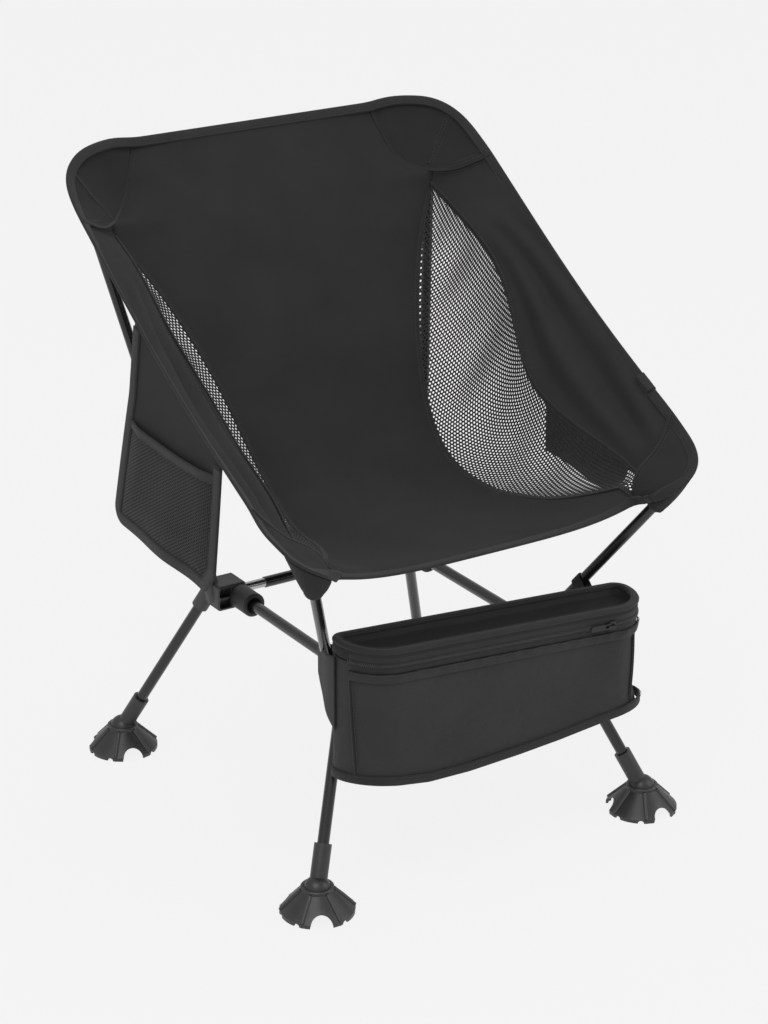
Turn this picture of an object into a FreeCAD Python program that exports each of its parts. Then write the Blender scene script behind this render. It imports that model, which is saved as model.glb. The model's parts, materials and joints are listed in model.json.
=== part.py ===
"""Ultralight backpacking chair: hubbed pole frame, stretched sling seat, ball feet and under-seat bag.

Frame: millimetres, +Z up, the chair faces -Y, origin on the floor at the middle of the four feet.
Left and right are the sides seen by someone who stands in front of the chair: left is -X.
"""
import FreeCAD, Part
import math
import os

import Sketcher

from FreeCAD import Placement, Rotation, Vector

# Driving dimensions, in millimetres and degrees
SIZES = {
    # where the feet stand and where the two side rails run
    "foot_front_x": 200.0,
    "foot_rear_x": 196.0,
    "foot_row_y": 210.0,
    "ball_height": 24.0,
    "rail_x": 110.3,
    "rail_height": 205.0,
    "rear_hub_y": 110.0,
    "front_hub_y": -134.0,
    # tubes
    "rail_diameter": 12.0,
    "leg_diameter": 12.0,
    "pole_diameter": 11.0,
    "crossbar_diameter": 12.0,
    "tube_wall": 1.0,
    "cord_diameter": 2.6,
    "running_gap": 0.05,
    "socket_depth": 26.0,
    "rail_engagement": 10.5,
    # hubs
    "hub_inner_reach": 9.0,
    "hub_width": 34.0,
    "hub_depth": 32.0,
    "hub_height": 28.0,
    "hub_edge": 3.0,
    "socket_wall": 3.0,
    "cavity_depth": 8.0,
    "cavity_rib": 2.4,
    "collar_diameter": 26.0,
    "collar_length": 32.0,
    "collar_groove": 2.5,
    "collar_edge": 1.5,
    "ferrule_show": 31.0,
    "ferrule_grip": 7.0,
    "ferrule_bore": 5.0,
    "rail_ring_length": 7.0,
    "rail_ring_wall": 1.0,
    # poles that carry the sling
    "seat_pole_length": 186.0,
    "back_pole_length": 454.0,
    "back_pole_joint": 238.0,
    "tip_cap_length": 12.0,
    "tip_cap_wall": 1.2,
    # ball studs
    "ball_radius": 14.0,
    "stud_radius": 8.85,
    "stud_length": 45.0,
    "stud_web": 17.0,
    # feet
    "socket_gap": 0.3,
    "ring_radius": 16.8,
    "ring_height": 4.6,
    "ring_drop": 4.1,
    "foot_radius": 37.5,
    "foot_lip": 4.0,
    "foot_wall": 2.4,
    "foot_panels": 3.0,
    "arch_radius": 11.5,
    "notch_radius": 3.2,
    "notch_angle": 9.0,
    "ridge_radius": 2.1,
    "ridge_angle": 31.0,
    # sling
    "fabric": 1.4,
    "front_sag": 12.0,
    "window_sag": 0.65,
    "binding": 3.0,
    "binding_width": 10.0,
    "seam_gap": 0.3,
    # side pockets
    "pocket_depth": 7.0,
    "pocket_corner": 16.0,
    "pocket_hang": 6.8,
    "pocket_inset": 2.0,
    "pocket_waist": 60.0,
    # corner pockets that hold the tips of the poles
    "pocket_cover": 45.0,
    "back_pocket_depth": 55.0,
    "back_pocket_room": 6.0,
    "back_pocket_mouth": 13.0,
    "back_pocket_tip": 10.0,
    "front_pocket_depth": 30.0,
    "front_pocket_room": 8.0,
    "front_pocket_mouth": 8.4,
    "front_pocket_tip": 19.0,
    # bag under the front of the seat; its hinge height is the top of the rear wall, under the lid's own wall
    "bag_length": 352.0,
    "bag_width": 62.0,
    "bag_height": 121.0,
    "bag_rear_corner": 14.0,
    "bag_front_corner": 46.0,
    "bag_wall": 1.6,
    "bag_centre_x": 8.0,
    "bag_rear_y": -179.0,
    "bag_hinge_height": 250.0,
    "bag_tilt": 4.2,
    "lid_height": 12.0,
    "lid_sink": 8.0,
    "rim_width": 6.0,
    "rim_rise": 4.5,
    "rim_overhang": 2.0,
    "base_rim_overhang": 1.2,
    "base_rim_height": 9.0,
    "tape_width": 8.0,
    "tape_thickness": 0.9,
    "slider_length": 13.0,
    "slider_width": 9.0,
    "slider_height": 4.2,
    "slider_place": 118.0,
    "pull_length": 24.0,
    "pull_width": 6.0,
    "pull_thickness": 1.4,
    "loop_width": 16.0,
    "loop_place_left": 35.0,
    "loop_place_right": 48.0,
    "strap_thickness": 1.6,
}

doc = FreeCAD.newDocument("backpacking_chair")
sheet = doc.addObject("Spreadsheet::Sheet", "sizes")
for row, (alias, number) in enumerate(SIZES.items(), start=1):
    sheet.set(f"A{row}", alias)
    sheet.set(f"B{row}", str(number))
    sheet.setAlias(f"B{row}", alias)
doc.recompute()


class Size:
    """A length that knows its number and the spreadsheet expression behind it."""

    def __init__(self, number, text):
        self.number = float(number)
        self.text = text

    @staticmethod
    def of(other):
        return other if isinstance(other, Size) else Size(other, str(other))

    def __add__(self, other):
        other = Size.of(other)
        return Size(self.number + other.number, f"({self.text} + {other.text})")

    def __sub__(self, other):
        other = Size.of(other)
        return Size(self.number - other.number, f"({self.text} - {other.text})")

    def __mul__(self, other):
        other = Size.of(other)
        return Size(self.number * other.number, f"({self.text} * {other.text})")

    def __truediv__(self, other):
        other = Size.of(other)
        return Size(self.number / other.number, f"({self.text} / {other.text})")

    def __neg__(self):
        return Size(-self.number, f"(0 - {self.text})")


def size(alias):
    return Size(sheet.get(alias), f"sizes.{alias}")


def num(alias):
    return float(sheet.get(alias))


# The sub-parts that are exported, label by label
subparts = []


def keep(obj, label):
    obj.Label = label
    subparts.append(obj)
    return obj


def bind(obj, prop, length):
    """Set a property to a size and tie it to the spreadsheet."""
    length = Size.of(length)
    setattr(obj, prop, length.number)
    obj.setExpression(prop, length.text)


def aligned(point, direction):
    """Placement whose local Z runs along a direction and whose origin is the point."""
    return Placement(Vector(point), Rotation(Vector(0, 0, 1), Vector(direction)))


# Sketch helpers

def origin_plane(body, role):
    return next(plane for plane in body.Origin.OriginFeatures if plane.Role == role)


def sketch_on(body, role, name, offset=None):
    sketch = body.newObject("Sketcher::SketchObject", name)
    sketch.AttachmentSupport = [(origin_plane(body, role), "")]
    sketch.MapMode = "FlatFace"
    if offset is not None:
        sketch.AttachmentOffset = offset
    return sketch


def tie(sketch, constraint, name, length):
    """Add a named constraint and tie it to the spreadsheet."""
    sketch.addConstraint(constraint)
    sketch.renameConstraint(sketch.ConstraintCount - 1, name)
    sketch.setExpression(f"Constraints.{name}", length.text)


def circle(sketch, radius, name):
    radius = Size.of(radius)
    index = sketch.addGeometry(Part.Circle(Vector(), Vector(0, 0, 1), radius.number), False)
    sketch.addConstraint(Sketcher.Constraint("Coincident", index, 3, -1, 1))
    tie(sketch, Sketcher.Constraint("Radius", index, radius.number), name, radius)


def polygon(sketch, corners):
    """Closed outline whose corners are (across, up) sizes measured from the sketch's origin."""
    corners = [(Size.of(across), Size.of(up)) for across, up in corners]
    count = len(corners)
    for i in range(count):
        start = corners[i]
        end = corners[(i + 1) % count]
        line = Part.LineSegment(Vector(start[0].number, start[1].number, 0),
                                Vector(end[0].number, end[1].number, 0))
        sketch.addGeometry(line, False)
    for i in range(count):
        sketch.addConstraint(Sketcher.Constraint("Coincident", i, 2, (i + 1) % count, 1))
    for i, (across, up) in enumerate(corners):
        for kind, length, name in (("DistanceX", across, f"across{i}"), ("DistanceY", up, f"up{i}")):
            tie(sketch, Sketcher.Constraint(kind, -1, 1, i, 1, length.number), name, length)


def group(label, members):
    """Identical small pieces that share one node."""
    together = doc.addObject("Part::Compound", label)
    together.Links = members
    return keep(together, label)


def pad(body, sketch, length, name, both_ways=False):
    feature = body.newObject("PartDesign::Pad", name)
    feature.Profile = sketch
    bind(feature, "Length", length)
    feature.Midplane = both_ways
    sketch.Visibility = False
    return feature


def pocket(body, sketch, length, name, both_ways=False, backwards=False):
    feature = body.newObject("PartDesign::Pocket", name)
    feature.Profile = sketch
    bind(feature, "Length", length)
    feature.Midplane = both_ways
    feature.Reversed = backwards
    return feature


def revolve(body, sketch, name, kind="PartDesign::Revolution"):
    feature = body.newObject(kind, name)
    feature.Profile = sketch
    feature.ReferenceAxis = (sketch, ["V_Axis"])
    feature.Angle = 360.0
    return feature


def polar_pattern(body, features, count, name):
    pattern = body.newObject("PartDesign::PolarPattern", name)
    pattern.Originals = features
    pattern.Axis = (next(axis for axis in body.Origin.OriginFeatures if axis.Role == "Z_Axis"), [""])
    pattern.Angle = 360.0
    pattern.Occurrences = int(count)
    body.Tip = pattern
    return pattern


# The four corners of the frame

class Line:
    """Axis of a tube: a root point at the hub and a unit direction away from it."""

    def __init__(self, root, end):
        self.root = Vector(*root)
        self.length = Vector(*end).sub(self.root).Length
        self.way = Vector(*end).sub(self.root).normalize()

    def at(self, distance):
        return self.root + self.way * distance


def mirrored(point, side):
    """A point given for the right-hand side, on either side of the chair."""
    return (point[0] * side, point[1], point[2])


SIDES = {"left": -1, "right": 1}

# Where each tube leaves its hub, measured from the rail's end, on the right-hand side
LEG_ROOT = {"front": (14.7, -7.0, 0.0), "rear": (13.7, 21.0, -2.0)}
POLE_ROOT = {"front": (21.7, 8.0, 0.0), "rear": (20.1, 2.5, -1.0)}
POLE_WAY = {"front": (0.389, -0.483, 0.785), "rear": (0.184, 0.245, 0.952)}


def hub_centre(row):
    return (num("rail_x"), num(f"{row}_hub_y"), num("rail_height"))


def offset_from_hub(row, offset):
    return tuple(a + b for a, b in zip(hub_centre(row), offset))


def foot_point(row):
    sign = -1 if row == "front" else 1
    return (num(f"foot_{row}_x"), sign * num("foot_row_y"), num("ball_height"))


def leg_line(row, side):
    root = offset_from_hub(row, LEG_ROOT[row])
    return Line(mirrored(root, side), mirrored(foot_point(row), side))


def pole_line(row, side):
    root = offset_from_hub(row, POLE_ROOT[row])
    length = num("seat_pole_length" if row == "front" else "back_pole_length")
    end = tuple(a + b * length for a, b in zip(root, POLE_WAY[row]))
    return Line(mirrored(root, side), mirrored(end, side))


def tube(label, diameter, length, line, start=0.0, bore=None):
    """Round tube along a line, made as a padded ring."""
    body = doc.addObject("PartDesign::Body", label)
    ring = sketch_on(body, "XY_Plane", f"{label}_ring")
    circle(ring, diameter / 2, "outer")
    circle(ring, diameter / 2 - size("tube_wall") if bore is None else bore / 2, "inner")
    pad(body, ring, length, f"{label}_wall")
    body.Placement = aligned(line.at(start), line.way)
    return body


def rod_shape(point, way, radius, length):
    return Part.makeCylinder(radius, length, Vector(*point), Vector(*way))


def solid_feature(label, shape):
    feature = doc.addObject("Part::Feature", label)
    feature.Shape = shape
    return keep(feature, label)


# Frame tubes

def rail_line(side):
    start = (side * num("rail_x"), num("rear_hub_y"), num("rail_height"))
    end = (side * num("rail_x"), num("front_hub_y"), num("rail_height"))
    return Line(start, end)


def into_hub():
    """Distance from a hub's centre to the end of the rail inside it."""
    return size("hub_depth") / 2 - size("rail_engagement")


def side_rail(name, side):
    length = size("rear_hub_y") - size("front_hub_y") - into_hub() * 2
    label = f"side_rail_{name}"
    keep(tube(label, size("rail_diameter"), length, rail_line(side), start=into_hub().number), label)


def rail_collar(name, side):
    """Wide round collar that covers the rear end of a side rail."""
    body = doc.addObject("PartDesign::Body", f"rail_collar_{name}")
    profile = sketch_on(body, "XZ_Plane", f"collar_profile_{name}")
    bore = size("rail_diameter") / 2 + size("running_gap")
    outer = size("collar_diameter") / 2
    waist = outer - size("collar_groove") * 1.4
    length = size("collar_length")
    soft = size("collar_edge")
    polygon(profile, [
        (bore, 0), (waist, 0), (waist, size("collar_groove")), (outer, size("collar_groove")),
        (outer, length - soft), (outer - soft, length), (bore + soft * 2, length), (bore, length - soft * 2),
    ])
    revolve(body, profile, f"collar_{name}")
    line = rail_line(side)
    body.Placement = aligned(line.at(num("hub_depth") / 2), line.way)
    return body


def rail_ring(name, side):
    """Bright ferrule ring that ends a side rail at the front hub."""
    line = rail_line(side)
    start = line.length - num("hub_depth") / 2 - num("rail_ring_length")
    bore = size("rail_diameter") + size("running_gap") * 2
    outer = size("rail_diameter") + size("rail_ring_wall") * 2
    return tube(f"rail_ring_{name}", outer, size("rail_ring_length"), line, start=start, bore=bore)


def hub_inner_x():
    return size("rail_x") - size("hub_inner_reach")


def crossbar():
    """Tube between the rear hubs, carried on a narrower bare ferrule at each end."""
    half = hub_inner_x() - size("ferrule_show")
    start = Vector(-half.number, num("rear_hub_y"), num("rail_height"))
    line = Line(start, start + Vector(half.number * 2, 0, 0))
    keep(tube("crossbar_tube", size("crossbar_diameter"), half * 2, line), "crossbar_tube")
    bore = size("crossbar_diameter") - size("tube_wall") * 2
    length = size("ferrule_show") + size("ferrule_grip") * 2
    ferrules = []
    for name, side in SIDES.items():
        outer = Vector(side * (hub_inner_x() + size("ferrule_grip")).number, num("rear_hub_y"), num("rail_height"))
        ferrules.append(tube(f"crossbar_ferrule_{name}", bore - size("running_gap") * 2, length,
                             Line(outer, outer + Vector(-side, 0, 0)), bore=size("ferrule_bore")))
    group("crossbar_ferrules", ferrules)


def rounded_block(label, corner, lengths, edge):
    """Box with every edge rounded, its sizes tied to the spreadsheet."""
    block = doc.addObject("Part::Box", f"{label}_block")
    for prop, length in zip(("Length", "Width", "Height"), lengths):
        bind(block, prop, length)
    block.Placement = Placement(Vector(*corner), Rotation())
    rounded = doc.addObject("Part::Fillet", f"{label}_rounded")
    rounded.Base = block
    doc.recompute()
    rounded.Edges = [(i + 1, edge, edge) for i in range(len(block.Shape.Edges))]
    doc.recompute()
    return rounded.Shape


def hub(row, name, side):
    """Moulded hub: a ribbed block with bored sockets for the rail, the leg and the sling pole."""
    centre = hub_centre(row)
    leg = leg_line(row, 1)
    pole = pole_line(row, 1)
    rail_way = 1 if row == "front" else -1
    depth = num("hub_depth")
    height = num("hub_height")
    corner = (hub_inner_x().number, centre[1] - depth / 2, centre[2] - height / 2)
    lengths = (size("hub_width"), size("hub_depth"), size("hub_height"))
    shape = rounded_block(f"{row}_hub_{name}", corner, lengths, num("hub_edge"))
    wall = num("socket_wall")
    gap = num("running_gap")
    grip = num("socket_depth")
    overrun = num("socket_depth")
    leg_radius = num("leg_diameter") / 2
    pole_radius = num("pole_diameter") / 2
    shape = shape.fuse([
        rod_shape(leg.at(-wall * 2), leg.way, leg_radius + wall, grip + wall * 2),
        rod_shape(pole.at(-wall * 2), pole.way, pole_radius + wall, grip + wall * 2),
    ])
    bores = [
        rod_shape(leg.at(0), leg.way, leg_radius + gap, grip + overrun),
        rod_shape(pole.at(0), pole.way, pole_radius + gap, grip + overrun),
        rod_shape((centre[0], centre[1] + rail_way * into_hub().number, centre[2]), (0, rail_way, 0),
                  num("rail_diameter") / 2 + gap, overrun),
    ]
    if row == "rear":
        ferrule_radius = num("crossbar_diameter") / 2 - num("tube_wall")
        bores.append(rod_shape((hub_inner_x().number + num("ferrule_grip"), centre[1], centre[2]), (-1, 0, 0),
                               ferrule_radius, overrun))
        cavity = rounded_cavity(centre, depth, height)
        bores.append(cavity)
    shape = shape.cut(bores)
    if side < 0:
        shape = shape.mirror(Vector(), Vector(1, 0, 0))
    solid_feature(f"{row}_hub_{name}", shape)


def rounded_cavity(centre, depth, height):
    """Two weight-saving pockets, one above the other, in the face beside the rail's collar."""
    left = centre[0] + num("rail_diameter") / 2 + num("socket_wall")
    width = hub_inner_x().number + num("hub_width") - num("hub_edge") / 2 - left
    margin = num("hub_edge")
    cell = (height - margin * 2 - num("cavity_rib")) / 2
    pockets = []
    for step in (0, 1):
        base = centre[2] - height / 2 + margin + step * (cell + num("cavity_rib"))
        corner = Vector(left, centre[1] - depth / 2 - num("cavity_depth"), base)
        block = Part.makeBox(width, num("cavity_depth") * 2, cell, corner)
        upright = [edge for edge in block.Edges if abs(edge.tangentAt(edge.FirstParameter).y) > 0.9]
        pockets.append(block.makeFillet(num("hub_edge") * 0.7, upright))
    return pockets[0].fuse(pockets[1])


def legs(row, name, side):
    """Leg tube, its shock cord, the ball stud pushed on its end and the foot on the ball."""
    line = leg_line(row, side)
    inside = num("running_gap")
    end = line.length - num("stud_web") - num("seam_gap")
    keep(tube(f"{row}_leg_{name}", size("leg_diameter"), end - inside, line, start=inside), f"{row}_leg_{name}")
    cord = rod_shape(line.at(inside), line.way, num("cord_diameter") / 2, end - inside)
    solid_feature(f"{row}_leg_cord_{name}", cord)
    ball_stud(f"{row}_ball_stud_{name}", line)
    foot(f"{row}_foot_{name}", line.at(line.length), FOOT_TURN[row, name])


def ball_stud(label, line):
    """Sleeve with a ball at its foot: the leg tube sits in the sleeve's blind bore."""
    ball = doc.addObject("Part::Sphere", f"{label}_ball")
    bind(ball, "Radius", size("ball_radius"))
    sleeve = doc.addObject("Part::Cylinder", f"{label}_sleeve")
    bind(sleeve, "Radius", size("stud_radius"))
    bind(sleeve, "Height", size("stud_length"))
    bore = doc.addObject("Part::Cylinder", f"{label}_bore")
    bind(bore, "Radius", size("leg_diameter") / 2 + size("running_gap"))
    bind(bore, "Height", size("stud_length"))
    bore.Placement = Placement(Vector(0, 0, num("stud_web")), Rotation())
    bore.setExpression("Placement.Base.z", "sizes.stud_web")
    outside = doc.addObject("Part::Fuse", f"{label}_outside")
    outside.Base = ball
    outside.Tool = sleeve
    stud = doc.addObject("Part::Cut", label)
    stud.Base = outside
    stud.Tool = bore
    stud.Placement = aligned(line.at(line.length), -line.way)
    return keep(stud, label)


def round_tool(body, kind, name, radius, height, placement):
    """Cylinder added to or taken from a body."""
    feature = body.newObject(f"PartDesign::{kind}Cylinder", name)
    bind(feature, "Radius", radius)
    bind(feature, "Height", height)
    feature.Placement = placement
    return feature


def foot(label, centre, turn):
    """Fluted cone foot: three arched panels between three lobed ones, a ridge at each side of an arch."""
    body = doc.addObject("PartDesign::Body", f"{label}_skirt")
    profile = sketch_on(body, "XZ_Plane", f"{label}_profile")
    floor = -size("ball_height")
    lip = floor + size("foot_lip")
    ring = size("ring_radius")
    edge = size("foot_radius")
    wall = size("foot_wall")
    top = size("ring_height")
    polygon(profile, [
        (0, top), (ring - 1, top), (ring, top - 1), (ring, top - size("ring_drop")),
        (edge, lip), (edge, floor), (edge - wall, floor), (edge - wall, lip - wall / 2),
        (ring + wall, -wall * 2.2), (size("ball_radius"), -size("ball_radius") + wall),
        (size("ball_radius") - wall * 2, -size("ball_radius") - wall), (0, -size("ball_radius") - wall),
    ])
    revolve(body, profile, f"{label}_cone")
    across = Rotation(Vector(0, 0, 1), Vector(1, 0, 0))
    arch = round_tool(body, "Subtractive", f"{label}_arch", size("arch_radius"), edge,
                      Placement(Vector(num("ring_radius") + num("foot_wall"), 0, floor.number), across))
    polar_pattern(body, [arch], num("foot_panels"), f"{label}_arches")
    rim_slope = Vector(edge.number - ring.number, 0, lip.number - (top - size("ring_drop")).number)
    for sign in (-1, 1):
        spin = Rotation(Vector(0, 0, 1), sign * num("ridge_angle"))
        start = Vector(ring.number - num("ridge_radius") * 0.2, 0, top.number - num("ring_drop"))
        slope = Rotation(Vector(0, 0, 1), rim_slope)
        bar = round_tool(body, "Additive", f"{label}_ridge{sign + 1}", size("ridge_radius"), rim_slope.Length,
                         Placement(spin.multVec(start), spin.multiply(slope)))
        polar_pattern(body, [bar], num("foot_panels"), f"{label}_ridges{sign + 1}")
        toe_place = spin.multVec(Vector(edge.number - num("ridge_radius") * 0.8, 0, floor.number))
        toe = round_tool(body, "Additive", f"{label}_toe{sign + 1}", size("ridge_radius"), size("foot_lip"),
                         Placement(toe_place, Rotation()))
        polar_pattern(body, [toe], num("foot_panels"), f"{label}_toes{sign + 1}")
        notch_spin = Rotation(Vector(0, 0, 1), sign * (num("ridge_angle") + num("notch_angle")))
        notch = round_tool(body, "Subtractive", f"{label}_notch{sign + 1}", size("notch_radius"), edge / 2,
                           Placement(notch_spin.multVec(Vector(edge.number * 0.75, 0, floor.number)),
                                     notch_spin.multiply(across)))
        polar_pattern(body, [notch], num("foot_panels"), f"{label}_notches{sign + 1}")
    hollow = doc.addObject("Part::Sphere", f"{label}_hollow")
    bind(hollow, "Radius", size("ball_radius") + size("socket_gap"))
    cup = doc.addObject("Part::Cut", label)
    cup.Base = body
    cup.Tool = hollow
    cup.Placement = Placement(centre, Rotation(Vector(0, 0, 1), turn))
    return keep(cup, label)


# Which way an arch of each foot points, in degrees from +X: the balls leave it free
FOOT_TURN = {("front", "left"): -114.5, ("front", "right"): -87.5,
             ("rear", "left"): -100.0, ("rear", "right"): -80.0}


def seat_pole(name, side):
    line = pole_line("front", side)
    keep(tube(f"seat_pole_{name}", size("pole_diameter"), size("seat_pole_length"), line), f"seat_pole_{name}")
    return tip_cap(f"seat_pole_cap_{name}", line)


def back_pole(name, side):
    """Back pole in two sections that meet end to end."""
    line = pole_line("rear", side)
    joint = size("back_pole_joint")
    lower = tube(f"back_pole_lower_{name}", size("pole_diameter"), joint, line)
    upper = tube(f"back_pole_upper_{name}", size("pole_diameter"), size("back_pole_length") - joint,
                 line, start=joint.number)
    keep(lower, f"back_pole_lower_{name}")
    keep(upper, f"back_pole_upper_{name}")
    return tip_cap(f"back_pole_cap_{name}", line)


def tip_cap(label, line):
    """Moulded cap over the end of a pole, rounded where it pushes into the sling's pocket."""
    body = doc.addObject("PartDesign::Body", label)
    profile = sketch_on(body, "XZ_Plane", f"{label}_profile")
    bore = size("pole_diameter") / 2 + size("running_gap")
    outer = bore + size("tip_cap_wall")
    crown = size("tip_cap_wall") * 2
    grip = size("tip_cap_length")
    polygon(profile, [
        (bore, -grip), (outer, -grip), (outer, 0), (outer - crown * 0.4, crown * 0.6),
        (outer - crown, crown), (0, crown), (0, size("running_gap")), (bore, size("running_gap")),
    ])
    revolve(body, profile, f"{label}_cap")
    body.Placement = aligned(line.at(line.length), line.way)
    return body


def frame_cords():
    """Shock cord that ties the tubes together, one run inside each of them."""
    gap = num("running_gap")
    radius = num("cord_diameter") / 2
    runs = []
    for side in SIDES.values():
        rail = rail_line(side)
        start = into_hub().number + gap
        runs.append(rod_shape(rail.at(start), rail.way, radius, rail.length - start * 2))
        for row in ("front", "rear"):
            pole = pole_line(row, side)
            runs.append(rod_shape(pole.at(gap), pole.way, radius, pole.length - gap))
    reach = (hub_inner_x() + size("ferrule_grip")).number - gap
    runs.append(rod_shape((-reach, num("rear_hub_y"), num("rail_height")), (1, 0, 0), radius, reach * 2))
    solid_feature("frame_shock_cords", Part.makeCompound(runs))


def frame_parts():
    crossbar()
    frame_cords()
    collars = []
    rings = []
    caps = []
    for name, side in SIDES.items():
        side_rail(name, side)
        collars.append(rail_collar(name, side))
        rings.append(rail_ring(name, side))
        caps.append(seat_pole(name, side))
        caps.append(back_pole(name, side))
        for row in ("front", "rear"):
            hub(row, name, side)
            legs(row, name, side)
    group("rail_collars", collars)
    group("rail_rings", rings)
    group("pole_caps", caps)


# Sling: the curves are given for the right-hand side and mirrored for the left

# Side view of the centre panel, from the top of the back to the front of the seat, as (y, z)
PANEL_PROFILE = [(238, 674), (178, 565), (98, 427), (47, 359), (5, 333), (-60, 325), (-140, 332), (-212, 352)]
# Plan view of the panel's right-hand edge, as (x, y): beside the corner pocket, then along the mesh window
PANEL_CORNER_EDGE = [(143, 232), (148, 215), (164, 200), (192, 189)]
PANEL_WINDOW_EDGE = [(192, 189), (177, 177), (143, 140), (119, 98), (107, 47), (112, 5), (130, -60), (150, -120),
                     (171, -180), (177, -202)]
# Edge of the mesh window that the wing is sewn to, and the taut side edge of the sling, as (x, y, z)
WINDOW_OUTER = [(193, 185, 586), (194, 151, 572), (198, 64, 520), (184, 6, 460), (177, -22, 431), (178, -63, 407),
                (180, -111, 389), (181, -192, 369)]
SIDE_EDGE = [(248, 163, 628), (248, 119, 599), (248, -39, 497), (248, -198, 411)]
BACK_CORNER = [(143, 238, 674), (170, 241, 676), (197, 240, 675), (218, 233, 668), (235, 221, 658),
               (246, 202, 648), (248, 185, 641), (248, 166, 630)]
BACK_SEAM_END = [(220, 177, 608), (246, 165, 628)]
FRONT_CORNER = [(248, -201, 409), (247, -218, 393), (240, -229, 379), (230, -233, 367), (215, -231, 357),
                (199, -222, 351), (181, -213, 350)]
FRONT_SEAM = [(243, -200, 406), (212, -199, 388), (184, -197, 370), (179, -206, 352)]
# Which way each sheet's thickness lies from the surface that its curves draw
BELOW_SIDE = (0.69, 0.36, -0.60)
BELOW_BACK = (0.0, 0.83, -0.56)
BELOW_CORNER = (0.3, 0.35, -0.89)
SAMPLES = 16
# Where the front of the seat begins to hang, and which way the thickness of the seat's sheet lies
SAG_START_Y = -60
BELOW_PANEL = (0.0, 0.4, -0.92)


def spline(points):
    curve = Part.BSplineCurve()
    curve.interpolate([Vector(*point) for point in points])
    return curve


def on_side(points, side):
    return [mirrored(point, side) for point in points]


def height_at(curve, y):
    """Height of a falling side-view curve at a distance from the middle of the chair, by halving steps."""
    low = curve.FirstParameter
    high = curve.LastParameter
    for _ in range(40):
        middle = (low + high) / 2
        if curve.value(middle).y > y:
            low = middle
        else:
            high = middle
    return curve.value((low + high) / 2).z


PROFILE = spline([(0, y, z) for y, z in PANEL_PROFILE])


def sag_at(x, y):
    """How far the seat hangs below its side-view curve: most at the middle of the front edge."""
    front_x, front_y = PANEL_WINDOW_EDGE[-1]
    ahead = max(0.0, (SAG_START_Y - y) / (SAG_START_Y - front_y))
    inward = max(0.0, 1 - (x / front_x) ** 4)
    return num("front_sag") * ahead ** 2 * inward


def on_panel(points):
    return [(x, y, height_at(PROFILE, y) - sag_at(x, y)) for x, y in points]


def sampled(points):
    """Evenly spaced points along the curve through a few chosen ones."""
    curve = spline(points)
    span = curve.LastParameter - curve.FirstParameter
    return [curve.value(curve.FirstParameter + span * i / (SAMPLES - 1)) for i in range(SAMPLES)]


def beside(points_a, points_b, margin):
    """Line that follows curve b at a margin from it, towards curve a."""
    line = []
    for a, b in zip(sampled(points_a), sampled(points_b)):
        span = a.sub(b)
        reach = min(margin, span.Length * 0.45)
        line.append(b + Vector(span).normalize() * reach)
    return line


def strip_shape(line_a, line_b, way, thickness):
    """Thin solid strip: the surface ruled between two lines, given a thickness."""
    surface = Part.makeRuledSurface(spline(line_a).toShape(), spline(line_b).toShape())
    return surface.extrude(Vector(*way).normalize() * thickness)


def sheet_shape(rows, way, thickness):
    """Thin solid sheet: the smooth surface through rows of points, given a thickness."""
    surface = Part.BSplineSurface()
    surface.interpolate(rows)
    return surface.toShape().extrude(Vector(*way).normalize() * thickness)


def sagging_strip(line_a, line_b, way, thickness):
    """Thin sheet between two lines that leaves the first one level and hangs before it climbs to the second."""
    rows = []
    for low, high in zip(line_a, line_b):
        middle = (low + high) / 2
        pull = middle + (Vector(high.x, low.y, low.z) - middle) * num("window_sag")
        rows.append([low * (1 - t) ** 2 + pull * (2 * t * (1 - t)) + high * t ** 2
                     for t in (0, 0.25, 0.5, 0.75, 1)])
    return sheet_shape(rows, way, thickness)


def hanging_sheet(start, end, thickness, half):
    """Part of the centre panel's sheet between two places along its profile, with the seat's sag."""
    shift = (thickness - num("fabric")) / 2
    below = Vector(*BELOW_PANEL).normalize()
    rows = []
    for i in range(SAMPLES):
        point = PROFILE.value(start + (end - start) * i / (SAMPLES - 1))
        across = [half * (2 * j / (SAMPLES - 1) - 1) for j in range(SAMPLES)]
        rows.append([Vector(x, point.y, point.z - sag_at(x, point.y)) - below * shift for x in across])
    return sheet_shape(rows, BELOW_PANEL, thickness)


def panel_slab(start, end, thickness, half):
    """Part of the centre panel's curved sheet, between two places along its profile."""
    inner = []
    outer = []
    for i in range(SAMPLES * 2):
        place = start + (end - start) * i / (SAMPLES * 2 - 1)
        point = PROFILE.value(place)
        along = PROFILE.tangent(place)[0]
        below = Vector(0, along.z, -along.y)
        shift = (thickness - num("fabric")) / 2
        inner.append(point - below * shift)
        outer.append(point + below * (thickness - shift))
    side = Part.makeRuledSurface(spline(inner).toShape(), spline(outer).toShape())
    side.translate(Vector(-half, 0, 0))
    return side.extrude(Vector(half * 2, 0, 0))


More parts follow.
